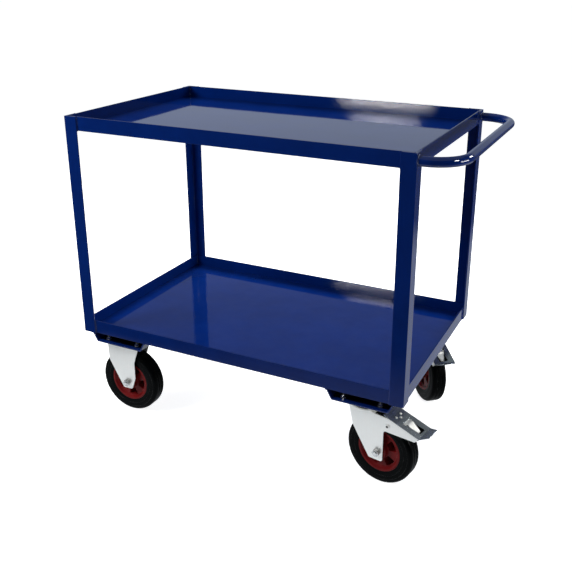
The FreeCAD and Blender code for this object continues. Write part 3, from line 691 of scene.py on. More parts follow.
def sector_tree():
    """One sector of a wheel repeated round the Y axis and closed up."""
    tree, start, end = new_tree("sectors_round_axle", (
        ("Sectors", "Int"), ("First turn", "Float"), ("Finish", "Material")))
    points = add(tree, "GeometryNodePoints", {"Count": start["Sectors"]})
    index = add(tree, "GeometryNodeInputIndex")
    share = maths(tree, "DIVIDE", index.outputs["Index"], start["Sectors"])
    angle = maths(tree, "MULTIPLY_ADD", share, 2 * math.pi, start["First turn"])
    turn = add(tree, "ShaderNodeCombineXYZ", {"Y": angle})
    rotation = add(tree, "FunctionNodeEulerToRotation", {"Euler": turn.outputs["Vector"]})
    place = add(tree, "GeometryNodeInstanceOnPoints", {
        "Points": points.outputs["Points"],
        "Instance": start["Geometry"],
        "Rotation": rotation.outputs["Rotation"],
    })
    real = add(tree, "GeometryNodeRealizeInstances", {"Geometry": place.outputs["Instances"]})
    close = add(tree, "GeometryNodeMergeByDistance", {
        "Geometry": real.outputs["Geometry"],
        "Distance": 2e-6,
    })
    return finish_tree(tree, start, end, close.outputs["Geometry"])


def grow(name, mesh, tree, values):
    """A plain mesh piece from a tree run on a mesh with the given input values."""
    seed = link(name + "_seed", mesh)
    modifier = seed.modifiers.new("nodes", "NODES")
    modifier.node_group = tree
    for item in tree.interface.items_tree:
        if item.item_type == "SOCKET" and item.in_out == "INPUT" and item.name in values:
            modifier[item.identifier] = values[item.name]
    bpy.context.view_layer.update()
    depsgraph = bpy.context.evaluated_depsgraph_get()
    made = bpy.data.meshes.new_from_object(seed.evaluated_get(depsgraph), depsgraph=depsgraph)
    made.name = name
    seed.modifiers.clear()
    bpy.data.objects.remove(seed)
    if not made.polygons:
        raise RuntimeError(name + " came out empty")
    return link(name, made)


def shader_group(name, inputs, outputs):
    """A shader node group with named inputs, the sockets that give them and those for its results."""
    tree = bpy.data.node_groups.new(name, "ShaderNodeTree")
    for label, default in inputs:
        kind = "NodeSocketVector" if isinstance(default, tuple) else "NodeSocketFloat"
        socket = tree.interface.new_socket(name=label, in_out="INPUT", socket_type=kind)
        socket.default_value = default
    for label in outputs:
        tree.interface.new_socket(name=label, in_out="OUTPUT", socket_type="NodeSocketFloat")
    return tree, add(tree, "NodeGroupInput").outputs, add(tree, "NodeGroupOutput").inputs


def noise(tree, vector, scale, detail, roughness=0.5):
    """A noise texture on a vector, with a number or a socket for its scale."""
    values = {"Vector": vector, "Scale": scale, "Detail": detail, "Roughness": roughness}
    return add(tree, "ShaderNodeTexNoise", values).outputs["Fac"]


def spread(tree, value, from_low, from_high, to_low, to_high):
    """A value mapped smoothly from one range to another."""
    values = {"Value": value, "From Min": from_low, "From Max": from_high}
    values.update({"To Min": to_low, "To Max": to_high})
    return add(tree, "ShaderNodeMapRange", values, interpolation_type="SMOOTHSTEP").outputs["Result"]


def even_spread(tree, value, low, high):
    """The middle of a noise's range mapped smoothly to another range."""
    return spread(tree, value, 0.3, 0.7, low, high)


def object_place(tree):
    """The place on the object that a texture follows."""
    return add(tree, "ShaderNodeTexCoord").outputs["Object"]


def parts_of(tree, vector):
    """The X, Y and Z of a vector, as sockets."""
    return add(tree, "ShaderNodeSeparateXYZ", {"Vector": vector}).outputs


def edge_wear_and_highlight_group(name):
    """How pale each edge is made, partly for wear and partly as a painted highlight: nothing on the flats, broken
    up along the edges.
    """
    tree, start, end = shader_group(name, (("Radius", 0.002), ("Amount", 0.5), ("Scale", 60.0)), ("Mask",))
    soft = add(tree, "ShaderNodeBevel", {"Radius": start["Radius"]}, samples=4)
    plain = add(tree, "ShaderNodeNewGeometry")
    normals = {0: soft.outputs["Normal"], 1: plain.outputs["Normal"]}
    compare = add(tree, "ShaderNodeVectorMath", normals, operation="DOT_PRODUCT")
    bent = spread(tree, compare.outputs["Value"], 0.99, 0.8, 0.0, 1.0)
    broken = noise(tree, object_place(tree), start["Scale"], 4.0, 0.6)
    patches = spread(tree, broken, 0.35, 0.7, 0.1, 1.0)
    mask = maths(tree, "MULTIPLY", maths(tree, "MULTIPLY", bent, patches), start["Amount"])
    join(tree, mask, end["Mask"])
    return tree


def orange_peel_group(name):
    """The fine unevenness of sprayed paint or moulded skin, as a height, and its wider patches."""
    tree, start, end = shader_group(name, (("Scale", 300.0), ("Coarse", 0.25)), ("Height", "Patches"))
    place = object_place(tree)
    fine = noise(tree, place, start["Scale"], 1.5)
    wide = noise(tree, place, maths(tree, "MULTIPLY", start["Scale"], start["Coarse"]), 1.0)
    height = maths(tree, "ADD", maths(tree, "MULTIPLY", fine, 0.6), maths(tree, "MULTIPLY", wide, 0.4))
    join(tree, height, end["Height"])
    join(tree, noise(tree, place, 9.0, 3.0, 0.6), end["Patches"])
    return tree


def dust_group(name):
    """Fine dust that lies on what faces up."""
    tree, start, end = shader_group(name, (("Amount", 0.1), ("Scale", 40.0)), ("Mask",))
    facing = add(tree, "ShaderNodeNewGeometry")
    up = spread(tree, parts_of(tree, facing.outputs["Normal"])["Z"], 0.2, 0.95, 0.0, 1.0)
    specks = noise(tree, object_place(tree), start["Scale"], 5.0, 0.65)
    lie = spread(tree, specks, 0.3, 0.75, 0.2, 1.0)
    join(tree, maths(tree, "MULTIPLY", maths(tree, "MULTIPLY", up, lie), start["Amount"]), end["Mask"])
    return tree


def painted_channel_shade_group(name):
    """Painted shade: a mask on the floor of a channel, away from its ends at plus and minus Y, where little light
    gets in.
    """
    tree, start, end = shader_group(name, (("End", 0.3), ("Reach", 0.02)), ("Mask",))
    facing = add(tree, "ShaderNodeNewGeometry")
    along = maths(tree, "ABSOLUTE", parts_of(tree, object_place(tree))["Y"])
    inside = maths(tree, "SUBTRACT", start["End"], along)
    past = maths(tree, "SUBTRACT", inside, start["Reach"])
    deep = spread(tree, past, -0.004, 0.004, 0.0, 1.0)
    up = spread(tree, parts_of(tree, facing.outputs["Normal"])["Z"], 0.3, 0.7, 0.0, 1.0)
    join(tree, maths(tree, "MULTIPLY", deep, up), end["Mask"])
    return tree


def streaks_group(name):
    """Drawn lines along one direction, such as rolled sheet shows under its plating."""
    inputs = (("Stretch", (400.0, 400.0, 12.0)), ("Cloud", 25.0))
    tree, start, end = shader_group(name, inputs, ("Streaks", "Clouds"))
    place = object_place(tree)
    stretch = add(tree, "ShaderNodeVectorMath", {0: place, 1: start["Stretch"]}, operation="MULTIPLY")
    join(tree, noise(tree, stretch.outputs["Vector"], 1.0, 3.0, 0.6), end["Streaks"])
    join(tree, noise(tree, place, start["Cloud"], 4.0, 0.55), end["Clouds"])
    return tree


GROUP_MAKERS = {
    "edge_wear": edge_wear_and_highlight_group,
    "orange_peel": orange_peel_group,
    "dust": dust_group,
    "unpainted_depth": painted_channel_shade_group,
    "drawn_streaks": streaks_group,
}


class Finishes:
    """The groups and materials, made once and shared by the pieces."""

    groups = {}
    materials = {}


def group_node(tree, name, **values):
    """The results of a shared group, placed in a material with its own values."""
    if name not in Finishes.groups:
        Finishes.groups[name] = GROUP_MAKERS[name](name)
    node = add(tree, "ShaderNodeGroup", node_tree=Finishes.groups[name])
    for label, value in values.items():
        node.inputs[label.capitalize()].default_value = value
    return node.outputs


def bare_material(name):
    """A material with nothing yet on its output, and the socket there."""
    material = bpy.data.materials.new(name)
    material.use_nodes = True
    tree = material.node_tree
    tree.nodes.clear()
    return material, tree, add(tree, "ShaderNodeOutputMaterial").inputs["Surface"]


def blank_material(name):
    """A material with a Principled shader on its output."""
    material, tree, surface = bare_material(name)
    shader = add(tree, "ShaderNodeBsdfPrincipled")
    join(tree, shader.outputs["BSDF"], surface)
    return material, tree, shader


def blend_colours(tree, factor, first, second):
    """Two colours blended by a factor; each is a colour or a socket."""
    node = add(tree, "ShaderNodeMix", data_type="RGBA")
    sockets = [socket for socket in node.inputs if socket.type == "RGBA"]
    for socket, value in zip(sockets, (first, second)):
        join(tree, value if isinstance(value, bpy.types.NodeSocket) else (*value, 1.0), socket)
    join(tree, factor, node.inputs["Factor"])
    return [socket for socket in node.outputs if socket.type == "RGBA"][0]


def bump(tree, shader, height, distance):
    """A bump on the shader's normal."""
    node = add(tree, "ShaderNodeBump", {"Height": height, "Distance": distance, "Strength": 1.0})
    join(tree, node.outputs["Normal"], shader.inputs["Normal"])


def tinted(colour, factor):
    """A colour made lighter or darker."""
    return tuple(min(1.0, part * factor) for part in colour)


def toned(tree, factor, colour, darker, lighter):
    """A colour that varies between a darker and a lighter tone."""
    return blend_colours(tree, factor, tinted(colour, darker), tinted(colour, lighter))


def paint_material(name, peel_scale, peel_depth, gloss, dusty, reach=None, waves=0.0):
    """Gloss paint with orange peel, paler edges that are partly paint pulled thin and partly a painted highlight,
    and a trace of dust.

    reach is how far in from a channel's ends the painted shade on its floor begins, and waves how far the sheet
    under it is from flat.
    """
    colours = bpy.context.scene.trolley_colours
    material, tree, shader = blank_material(name)
    peel = group_node(tree, "orange_peel", scale=peel_scale, coarse=0.22)
    wear = group_node(tree, "edge_wear", radius=0.0016, amount=0.55, scale=45.0)
    dust = group_node(tree, "dust", amount=dusty, scale=22.0)
    base = toned(tree, even_spread(tree, peel["Patches"], 0.0, 1.0), colours.paint, 0.93, 1.08)
    # Paler edges: partly paint pulled thin, partly a painted highlight
    edged = blend_colours(tree, wear["Mask"], base, colours.paint_edge)
    shown = blend_colours(tree, dust["Mask"], edged, (0.3, 0.3, 0.3))
    # Painted shade: the floor of a channel goes near black past reach from its ends
    if reach is not None:
        depth = group_node(tree, "unpainted_depth", end=-FRONT_FACE, reach=reach)
        shown = blend_colours(tree, depth["Mask"], shown, (0.0006, 0.001, 0.003))
    join(tree, shown, shader.inputs["Base Color"])
    rough = even_spread(tree, peel["Patches"], gloss * 0.85, gloss * 1.2)
    join(tree, maths(tree, "ADD", rough, dust["Mask"]), shader.inputs["Roughness"])
    shader.inputs["IOR"].default_value = 1.5
    height = peel["Height"]
    if waves:
        swell = noise(tree, object_place(tree), 5.0, 1.0)
        height = maths(tree, "ADD", height, maths(tree, "MULTIPLY", swell, waves))
    bump(tree, shader, height, peel_depth)
    return material


def zinc_material(name, colour, metal, gloss, shade, grain, edge=1.25):
    """Zinc plate with drawn streaks and cloudy patches, in one of the trolley's colours."""
    plain = getattr(bpy.context.scene.trolley_colours, colour)
    material, tree, shader = blank_material(name)
    streaks = group_node(tree, "drawn_streaks", stretch=(380.0, 380.0, 14.0), cloud=28.0)
    wear = group_node(tree, "edge_wear", radius=0.0012, amount=0.6, scale=90.0)
    lines = maths(tree, "MULTIPLY", streaks["Streaks"], 0.4)
    both = maths(tree, "ADD", lines, maths(tree, "MULTIPLY", streaks["Clouds"], 0.6))
    base = toned(tree, even_spread(tree, both, 0.0, 1.0), plain, shade, 1.04)
    # Paler edges and folds: a painted highlight
    edged = blend_colours(tree, wear["Mask"], base, tinted(plain, edge))
    join(tree, edged, shader.inputs["Base Color"])
    join(tree, even_spread(tree, both, gloss * 0.8, gloss * 1.25), shader.inputs["Roughness"])
    shader.inputs["Metallic"].default_value = metal
    bump(tree, shader, streaks["Streaks"], grain)
    return material


def moulded_material(name, colour, tones, edge, grain, wear, rough, gloss, depth):
    """A moulded skin with a fine grain, and a painted highlight that makes it paler where its edges are proud."""
    material, tree, shader = blank_material(name)
    peel = group_node(tree, "orange_peel", **grain)
    edge_wear_and_highlight_mask = group_node(tree, "edge_wear", **wear)
    base = toned(tree, even_spread(tree, peel["Patches"], 0.0, 1.0), colour, *tones)
    join(tree, blend_colours(tree, edge_wear_and_highlight_mask["Mask"], base, edge), shader.inputs["Base Color"])
    join(tree, even_spread(tree, peel["Patches"], *rough), shader.inputs["Roughness"])
    shader.inputs["Specular IOR Level"].default_value = gloss
    bump(tree, shader, peel["Height"], depth)
    return material


def rubber_material(name):
    """Black rubber, fine grained, with a painted highlight that makes it paler where it is proud."""
    return moulded_material(
        name, bpy.context.scene.trolley_colours.rubber, tones=(0.8, 1.4), edge=(0.1, 0.103, 0.105),
        grain={"scale": 900.0, "coarse": 0.15}, wear={"radius": 0.0015, "amount": 0.7, "scale": 40.0},
        rough=(0.25, 0.34), gloss=0.035, depth=0.00012)


def plastic_material(name):
    """Dark red moulded plastic with a faint flow pattern."""
    red = bpy.context.scene.trolley_colours.plastic
    # Paler edges: a painted highlight
    return moulded_material(
        name, red, tones=(0.85, 1.12), edge=tinted(red, 1.9),
        grain={"scale": 500.0, "coarse": 0.2}, wear={"radius": 0.0015, "amount": 0.45, "scale": 70.0},
        rough=(0.2, 0.3), gloss=0.1, depth=0.0001)


def block_material(name):
    """Matt black rubber of the brake blocks, trays, plugs and seals."""
    material, tree, shader = blank_material(name)
    grain = group_node(tree, "orange_peel", scale=700.0, coarse=0.3)
    base = toned(tree, grain["Patches"], bpy.context.scene.trolley_colours.block, 0.7, 1.6)
    join(tree, base, shader.inputs["Base Color"])
    shader.inputs["Roughness"].default_value = 0.7
    bump(tree, shader, grain["Height"], 0.0002)
    return material


def steel_material(name):
    """Ground bearing steel with a film of grease."""
    material, tree, shader = blank_material(name)
    streaks = group_node(tree, "drawn_streaks", stretch=(900.0, 60.0, 900.0), cloud=60.0)
    base = toned(tree, streaks["Clouds"], bpy.context.scene.trolley_colours.steel, 0.75, 1.1)
    join(tree, base, shader.inputs["Base Color"])
    join(tree, even_spread(tree, streaks["Streaks"], 0.18, 0.36), shader.inputs["Roughness"])
    shader.inputs["Metallic"].default_value = 1.0
    return material


# What makes each finish, and the values that set it apart
FINISH_MAKERS = {
    "section_paint": (paint_material, {
        "peel_scale": 300.0, "peel_depth": 0.00006, "gloss": 0.04, "dusty": 0.012}),
    # Channel paint carries painted shade on the channels' floors
    "channel_paint": (paint_material, {
        "peel_scale": 420.0, "peel_depth": 0.00012, "gloss": 0.11, "dusty": 0.012, "reach": 0.016}),
    "sheet_paint": (paint_material, {
        "peel_scale": 260.0, "peel_depth": 0.00003, "gloss": 0.045, "dusty": 0.012, "waves": 12.0}),
    "weld_paint": (paint_material, {
        "peel_scale": 700.0, "peel_depth": 0.0003, "gloss": 0.18, "dusty": 0.0}),
    "bright_zinc": (zinc_material, {
        "colour": "zinc", "metal": 0.6, "gloss": 0.34, "shade": 0.96, "grain": 0.000006}),
    # Dull zinc gets much paler edges: a painted highlight on the pedals' folds
    "dull_zinc": (zinc_material, {
        "colour": "zinc_dark", "metal": 0.85, "gloss": 0.22, "shade": 0.95, "grain": 0.000002, "edge": 2.2}),
    "leaf_zinc": (zinc_material, {
        "colour": "leaf", "metal": 0.1, "gloss": 0.4, "shade": 0.97, "grain": 0.000004}),
    "fastener_zinc": (zinc_material, {
        "colour": "fastener", "metal": 0.95, "gloss": 0.22, "shade": 0.85, "grain": 0.00001}),
    "tyre_rubber": (rubber_material, {}),
    "moulded_red_plastic": (plastic_material, {}),
    "brake_block_rubber": (block_material, {}),
    "ground_steel": (steel_material, {}),
}


def finish(name):
    """One of the trolley's finishes, made when it is first asked for."""
    if name not in Finishes.materials:
        maker, values = FINISH_MAKERS[name]
        Finishes.materials[name] = maker(name, **values)
    return Finishes.materials[name]


class TROLLEY_OT_sections(Operator):
    """Dress the angle-iron legs and rails with rounded edges and paint"""

    bl_idname = "trolley.sections"
    bl_label = "Legs and rails"

    def execute(self, context):
        nodes = ["leg_" + side + "_" + end for side in SIDES for end in ENDS]
        nodes += [tier + "_rail_" + side for tier in TIERS for side in SIDES + ENDS]
        for node in nodes:
            rounded_node(node, "angle", "section_paint", "blue_paint", context.scene.trolley_sizes.steel_edge)
        return {"FINISHED"}


class TROLLEY_OT_decks(Operator):
    """Dress the two deck sheets"""

    bl_idname = "trolley.decks"
    bl_label = "Decks"

    def execute(self, context):
        width = context.scene.trolley_sizes.deck_edge
        for tier in TIERS:
            rounded_node(tier + "_deck", "sheet", "sheet_paint", "blue_paint", width)
        return {"FINISHED"}


class TROLLEY_OT_handle(Operator):
    """Bend the tube handle along its path"""

    bl_idname = "trolley.handle"
    bl_label = "Push handle"

    def execute(self, context):
        sizes = context.scene.trolley_sizes
        half = sizes.handle_tube / 2
        near = HANDLE[0].y + half
        far = HANDLE[1].y - half
        outer = HANDLE[1].x - half
        turns = ((RIGHT_FACE, near), (outer, near), (outer, far), (RIGHT_FACE, far))
        path = [(x, y, HANDLE_HEIGHT) for x, y in turns]
        tube = grow("push_handle_tube", path_mesh("push_handle_path", [path]), tube_tree(), {
            "Diameter": sizes.handle_tube,
            "Bend": sizes.handle_bend,
            "Bend steps": 40,
            "Faces round": 48,
            "Finish": finish("section_paint"),
        })
        settle(tube, "frame", "blue_paint", "push_handle")
        return {"FINISHED"}


class TROLLEY_OT_channels(Operator):
    """Dress the two folded channels that carry the castors"""

    bl_idname = "trolley.channels"
    bl_label = "Castor channels"

    def execute(self, context):
        width = context.scene.trolley_sizes.sheet_edge
        for end in ENDS:
            rounded_node("castor_channel_" + end, "folded", "channel_paint", "blue_paint", width)
        return {"FINISHED"}


def toe_paths():
    """Upright welds where each leg's two flanges end on the rails of both trays."""
    paths = []
    for rails in (UPPER_RAIL, LOWER_RAIL):
        low = rails[0].z + WELD_INSET
        high = rails[1].z - WELD_INSET
        for x_face, x_in in ((LEFT_FACE, 1), (RIGHT_FACE, -1)):
            for y_face, y_in in ((FRONT_FACE, 1), (-FRONT_FACE, -1)):
                toe = x_face + x_in * LEG_FLANGE
                wall = y_face + y_in * WALL
                paths.append([(toe, wall, low), (toe, wall, high)])
                toe = y_face + y_in * LEG_FLANGE
                wall = x_face + x_in * WALL
                paths.append([(wall, toe, low), (wall, toe, high)])
    return paths


def corner_paths():
    """Upright welds in the inner corners of both trays, inside a leg's wall and a rail's wall."""
    paths = []
    inset = WALL + WALL
    for deck, rails in ((UPPER_DECK, UPPER_RAIL), (LOWER_DECK, LOWER_RAIL)):
        for x in (LEFT_FACE + inset, RIGHT_FACE - inset):
            for y in (FRONT_FACE + inset, -FRONT_FACE - inset):
                paths.append([(x, y, deck), (x, y, rails[1].z - CORNER_WELD_INSET)])
    return paths


def handle_paths(sizes):
    """Welds round the two ends of the handle."""
    half = sizes.handle_tube / 2
    paths = []
    for y in (HANDLE[0].y + half, HANDLE[1].y - half):
        ring = []
        for angle in ring_angles():
            ring.append((RIGHT_FACE, y + half * math.cos(angle), HANDLE_HEIGHT + half * math.sin(angle)))
        paths.append(ring + ring[:1])
    return paths


def channel_paths():
    """Welds that hold the channels up against the front and back rails of the lower tray."""
    paths = []
    for end in ENDS:
        low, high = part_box("castor_channel_" + end)
        for x in (low.x, high.x):
            for start, stop in ((low.y, low.y + CHANNEL_WELD), (high.y - CHANNEL_WELD, high.y)):
                paths.append([(x, start, high.z), (x, stop, high.z)])
    return paths


class TROLLEY_OT_welds(Operator):
    """Lay the weld beads along the joints of the frame"""

    bl_idname = "trolley.welds"
    bl_label = "Welds"

    def execute(self, context):
        sizes = context.scene.trolley_sizes
        tree = weld_tree()
        runs = (
            ("leg_welds", toe_paths(), 0.8, 3),
            ("corner_welds", corner_paths(), 0.9, 5),
            ("handle_welds", handle_paths(sizes), 1.2, 7),
            ("channel_welds", channel_paths(), 1.2, 11),
        )
        for name, paths, size, seed in runs:
            bead = grow(name, path_mesh(name + "_path", paths), tree, {
                "Leg": sizes.weld_leg * size,
                "Pitch": sizes.weld_pitch,
                "Seed": seed,
                "Finish": finish("weld_paint"),
            })
            settle(bead, "frame", "blue_paint")
        return {"FINISHED"}


def plate_holes():
    """The places of the holes through the four castor plates, seen from above."""
    plates = []
    for side in SIDES:
        low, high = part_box("fixed_bracket_" + side)
        plates.append(((low.x + high.x) / 2, (low.y + high.y) / 2))
    for side in SIDES:
        plates.append(tuple(joints["castor_" + side + "_right_swivel"]["pos_m"][:2]))
    places = []
    for x, y in plates:
        for along in (-HOLE_HALF_LENGTH, HOLE_HALF_LENGTH):
            for across in (-HOLE_HALF_WIDTH, HOLE_HALF_WIDTH):
                places.append((x + along, y + across))
    return places


class TROLLEY_OT_plate_bolts(Operator):
    """Set the bolts, washers and nuts that hold the castor plates"""

    bl_idname = "trolley.plate_bolts"
    bl_label = "Plate bolts"

    def execute(self, context):
        pitch = context.scene.trolley_sizes.thread_pitch
        tree = fastener_tree()
        feet = {}
        heights = {}
        for node in ("castor_bolts", "castor_washers", "castor_nuts"):
            low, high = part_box(node)
            feet[node] = low.z
            heights[node] = high.z - low.z
        bolt = bolt_mesh(
            "plate_bolt", PLATE_BOLT_FLATS, PLATE_BOLT_HEAD, PLATE_BOLT_RADIUS, heights["castor_bolts"],
            PLATE_BOLT_THREAD, pitch)
        washer = washer_mesh("plate_washer", WASHER_RADIUS, WASHER_BORE, heights["castor_washers"])
        nut = nut_mesh("plate_nut", PLATE_BOLT_FLATS, heights["castor_nuts"], PLATE_NUT_BORE)
        kinds = (
            ("castor_bolts", 0.0, bolt),
            ("castor_washers", 0.0, washer),
            ("castor_nuts", math.radians(60), nut),
        )
        for node, turn, mesh in kinds:
            pattern = link(node + "_pattern", mesh)
            points = bpy.data.meshes.new(node + "_places")
            points.from_pydata([(x, y, feet[node]) for x, y in plate_holes()], [], [])
            group = grow(node + "_set", points, tree, {
                "Fastener": pattern,
                "Largest turn": turn,
                "Seed": FASTENER_SEED,
                "Finish": finish("fastener_zinc"),
            })
            bpy.data.objects.remove(pattern)
            even_normals(group)
            settle(group, "frame", "zinc_plate", node)
        return {"FINISHED"}


def axle_fasteners(corner):
    """The meshes of an axle's bolt and nut, in place across a wheel."""
    pitch = bpy.context.scene.trolley_sizes.axle_thread_pitch
    place = wheel_place(corner)
    lying = Matrix.Rotation(math.radians(90), 4, "X")
    length = AXLE_HEAD + 2 * CHEEK_FACE + AXLE_END
    bolt = bolt_mesh("axle_bolt_" + corner, AXLE_FLATS, AXLE_HEAD, AXLE_RADIUS, length, AXLE_THREAD, pitch)
    bolt.transform(place @ Matrix.Translation((0, CHEEK_FACE + AXLE_HEAD, 0)) @ lying)
    nut = nut_mesh("axle_nut_" + corner, AXLE_FLATS, AXLE_NUT_HEIGHT, AXLE_NUT_BORE)
    nut.transform(place @ Matrix.Translation((0, -CHEEK_FACE, 0)) @ lying)
    return bolt, nut


class TROLLEY_OT_fixed_castors(Operator):
    """Dress the two fixed castors' brackets and axles"""

    bl_idname = "trolley.fixed_castors"
    bl_label = "Fixed castors"

    def execute(self, context):
        sizes = context.scene.trolley_sizes
        for side in SIDES:
            rounded_node("fixed_bracket_" + side, "pressed", "bright_zinc", "zinc_plate", sizes.sheet_edge)
        for index, node in enumerate(("fixed_axle_bolts", "fixed_axle_nuts")):
            work = bmesh.new()
            for side in SIDES:
                work.from_mesh(axle_fasteners(side + "_left")[index])
            piece = link(node + "_set", mesh_from(work, node + "_set"))
            even_normals(dress(piece, finish("fastener_zinc")))
            settle(piece, "frame", "zinc_plate", node)
        dress(frame["nodes"]["fixed_axle_sleeves"], finish("ground_steel"))
        return {"FINISHED"}


def swivel_seal(side):
    """The seal between a swivel castor's plate and its fork."""
    x, y = joints["castor_" + side + "_right_swivel"]["pos_m"][:2]
    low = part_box("swivel_fork_" + side)[1].z
    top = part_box("swivel_plate_" + side)[0].z - low - SEAL_GAP
    outline = rounded_outline([
        (SEAL_INNER, SEAL_GAP, 0.0004), (SEAL_OUTER, SEAL_GAP, 0.0008),
        (SEAL_OUTER, top, 0.0008), (SEAL_INNER, top, 0.0004)], 3)
    place = Matrix.Translation((x, y, low)) @ Matrix.Rotation(math.radians(90), 4, "X")
    name = "swivel_seal_" + side
    seal = dress(link(name, turned_mesh(outline, name, SEAL_STEPS, place)), finish("brake_block_rubber"))
    return settle(seal, "frame", "brake_block")


class TROLLEY_OT_swivel_castors(Operator):
    """Dress the two swivel castors' plates, forks, seals and axles"""

    bl_idname = "trolley.swivel_castors"
    bl_label = "Swivel castors"

    def execute(self, context):
        sizes = context.scene.trolley_sizes
        for side in SIDES:
            corner = side + "_right"
            for part in ("swivel_plate_", "swivel_fork_"):
                rounded_node(part + side, "pressed", "bright_zinc", "zinc_plate", sizes.sheet_edge)
            for mesh, kind in zip(axle_fasteners(corner), ("bolt", "nut")):
                node = "swivel_axle_" + kind + "_" + side
                piece = even_normals(dress(link(node + "_turned", mesh), finish("fastener_zinc")))
                settle(piece, "swivel_" + corner, "zinc_plate", node)
            dress(frame["nodes"]["swivel_axle_sleeve_" + side], finish("ground_steel"))
            swivel_seal(side)
        for node in ("kingpins", "kingpin_washers", "kingpin_nuts"):
            dress(frame["nodes"][node], finish("fastener_zinc"))
        dress(frame["nodes"]["swivel_balls"], finish("ground_steel"))
        return {"FINISHED"}


def pedal_place(side):
    """The pivot of a pedal at rest, with X down along the pedal, Y along the pivot and Z out of the plate."""
    joint = joints["brake_" + side + "_right_pedal"]
    pivot = Vector(joint["axis"])
    if pivot.y < 0:
        pivot = -pivot
    ahead = pivot.cross(UP)
    along = ahead * math.cos(PEDAL_SLOPE) - UP * math.sin(PEDAL_SLOPE)
    turn = Matrix((along, pivot, along.cross(pivot))).transposed().to_4x4()
    return Matrix.Translation(Vector(joint["pos_m"])) @ turn


def pedal_shade_tray(side):
    """A dark tray under the pedal's window, open at the top, with a low wall where the leaf comes in: painted
    shade where the window looks into shadow.
    """
    points = []
    for x, top in ((TRAY_NEAR, TRAY_BRIM), (TRAY_FAR, TRAY_TOP)):
        points += [(x, -TRAY_HALF_WIDTH, TRAY_FLOOR), (x, TRAY_HALF_WIDTH, TRAY_FLOOR)]
        points += [(x, TRAY_HALF_WIDTH, top), (x, -TRAY_HALF_WIDTH, top)]
    points += [(TRAY_SHOULDER, -TRAY_HALF_WIDTH, TRAY_TOP), (TRAY_SHOULDER, TRAY_HALF_WIDTH, TRAY_TOP)]
    faces = [(0, 1, 5, 4), (0, 3, 2, 1), (4, 5, 6, 7), (0, 4, 7, 8, 3), (1, 2, 9, 6, 5)]
    mesh = bpy.data.meshes.new("brake_tray_" + side)
    mesh.from_pydata(points, [], faces)
    mesh.transform(pedal_place(side))
    tray = dress(link("brake_tray_" + side, mesh), finish("brake_block_rubber"))
    shell = tray.modifiers.new("shell", "SOLIDIFY")
    shell.thickness = TRAY_WALL
    shell.offset = 0
    round_edges(tray, TRAY_EDGE)
    return settle(tray, "pedal_" + side + "_right", "brake_block")


def pivot_plug(side, end, turn):
    """The dark plug in one hollow end of a pedal's pivot."""
    outline = rounded_outline([
        (PLUG_BORE, PLUG_BACK, 0), (PLUG_BORE, PLUG_FACE, 0.0002),
        (PLUG_RADIUS, PLUG_RIM, 0.0003), (PLUG_RADIUS, PLUG_BACK, 0)], 3)
    place = pedal_place(side) @ Matrix.Rotation(turn, 4, "X")
    name = "pivot_plug_" + side + "_" + end
    plug = dress(link(name, turned_mesh(outline, name, PLUG_STEPS, place)), finish("brake_block_rubber"))
    return settle(even_normals(plug), "pedal_" + side + "_right", "brake_block")


class TROLLEY_OT_brakes(Operator):
    """Dress the two foot brakes"""

    bl_idname = "trolley.brakes"
    bl_label = "Brakes"

    def execute(self, context):
        wide = context.scene.trolley_sizes.sheet_edge
        parts = (
            ("brake_pedal_", "pressed", "dull_zinc", "zinc_plate", wide),
            ("brake_leaf_", "sprung", "leaf_zinc", "zinc_plate", wide / 2),
            ("brake_shoe_", "moulded", "brake_block_rubber", "brake_block", wide),
            ("brake_rivets_", "headed", "bright_zinc", "zinc_plate", wide / 2),
        )
        for side in SIDES:
            for part, ending, finish_name, slot, width in parts:
                rounded_node(part + side, ending, finish_name, slot, width)
            # A dark tray of painted shade under the pedal's window
            pedal_shade_tray(side)
            pivot_plug(side, "far", 0)
            pivot_plug(side, "near", math.pi)
        return {"FINISHED"}


def tyre_outline(sizes):
    """Half a tyre's section mirrored: bead, flank with moulded rings, shoulder and grooved tread."""
    half = [
        (SEAT_RADIUS + SEAT_GAP, LIP_STEP, 0),
        (LIP_RADIUS + SEAT_GAP, LIP_STEP, 0.0002),
        (LIP_RADIUS + SEAT_GAP, LIP_SIDE, 0.0005),
        (FLANK_RADIUS, TYRE_SIDE, FLANK_ROUND),
    ]
    for (foot, rise, fall, end), share in SIDEWALL_RINGS:
        proud = TYRE_SIDE + sizes.sidewall_ring * share
        half += [(foot, TYRE_SIDE, RING_ROUND), (rise, proud, RING_ROUND)]
        half += [(fall, proud, RING_ROUND), (end, TYRE_SIDE, RING_ROUND)]
    half.append((TYRE_RADIUS, TYRE_SIDE, SHOULDER_ROUND))
    outer = sizes.groove_pitch / 2 + sizes.groove_width / 2
    inner = sizes.groove_pitch / 2 - sizes.groove_width / 2
    floor = TYRE_RADIUS - sizes.groove_depth
    half += [
        (TYRE_RADIUS, outer, 0.0005), (floor, outer - GROOVE_SLOPE, 0.0006),
        (floor, inner + GROOVE_SLOPE, 0.0006), (TYRE_RADIUS, inner, 0.0005),
    ]
    mirrored = [(radius, -side, corner) for radius, side, corner in reversed(half)]
    return rounded_outline(half + mirrored, 10)


def ramp(value, low, high):
    """Nothing up to low, all from high, with the corners of the slope between rounded."""
    share = min(1.0, max(0.0, (value - low) / (high - low)))
    soft = 0.22
    steep = 1 / (1 - soft)
    if share < soft:
        return steep * share * share / (2 * soft)
    if share > 1 - soft:
        return 1 - steep * (1 - share) ** 2 / (2 * soft)
    return steep * (share - soft / 2)


def evenly(low, high, count):
    """Places from low to high."""
    return [low + (high - low) * step / count for step in range(count + 1)]


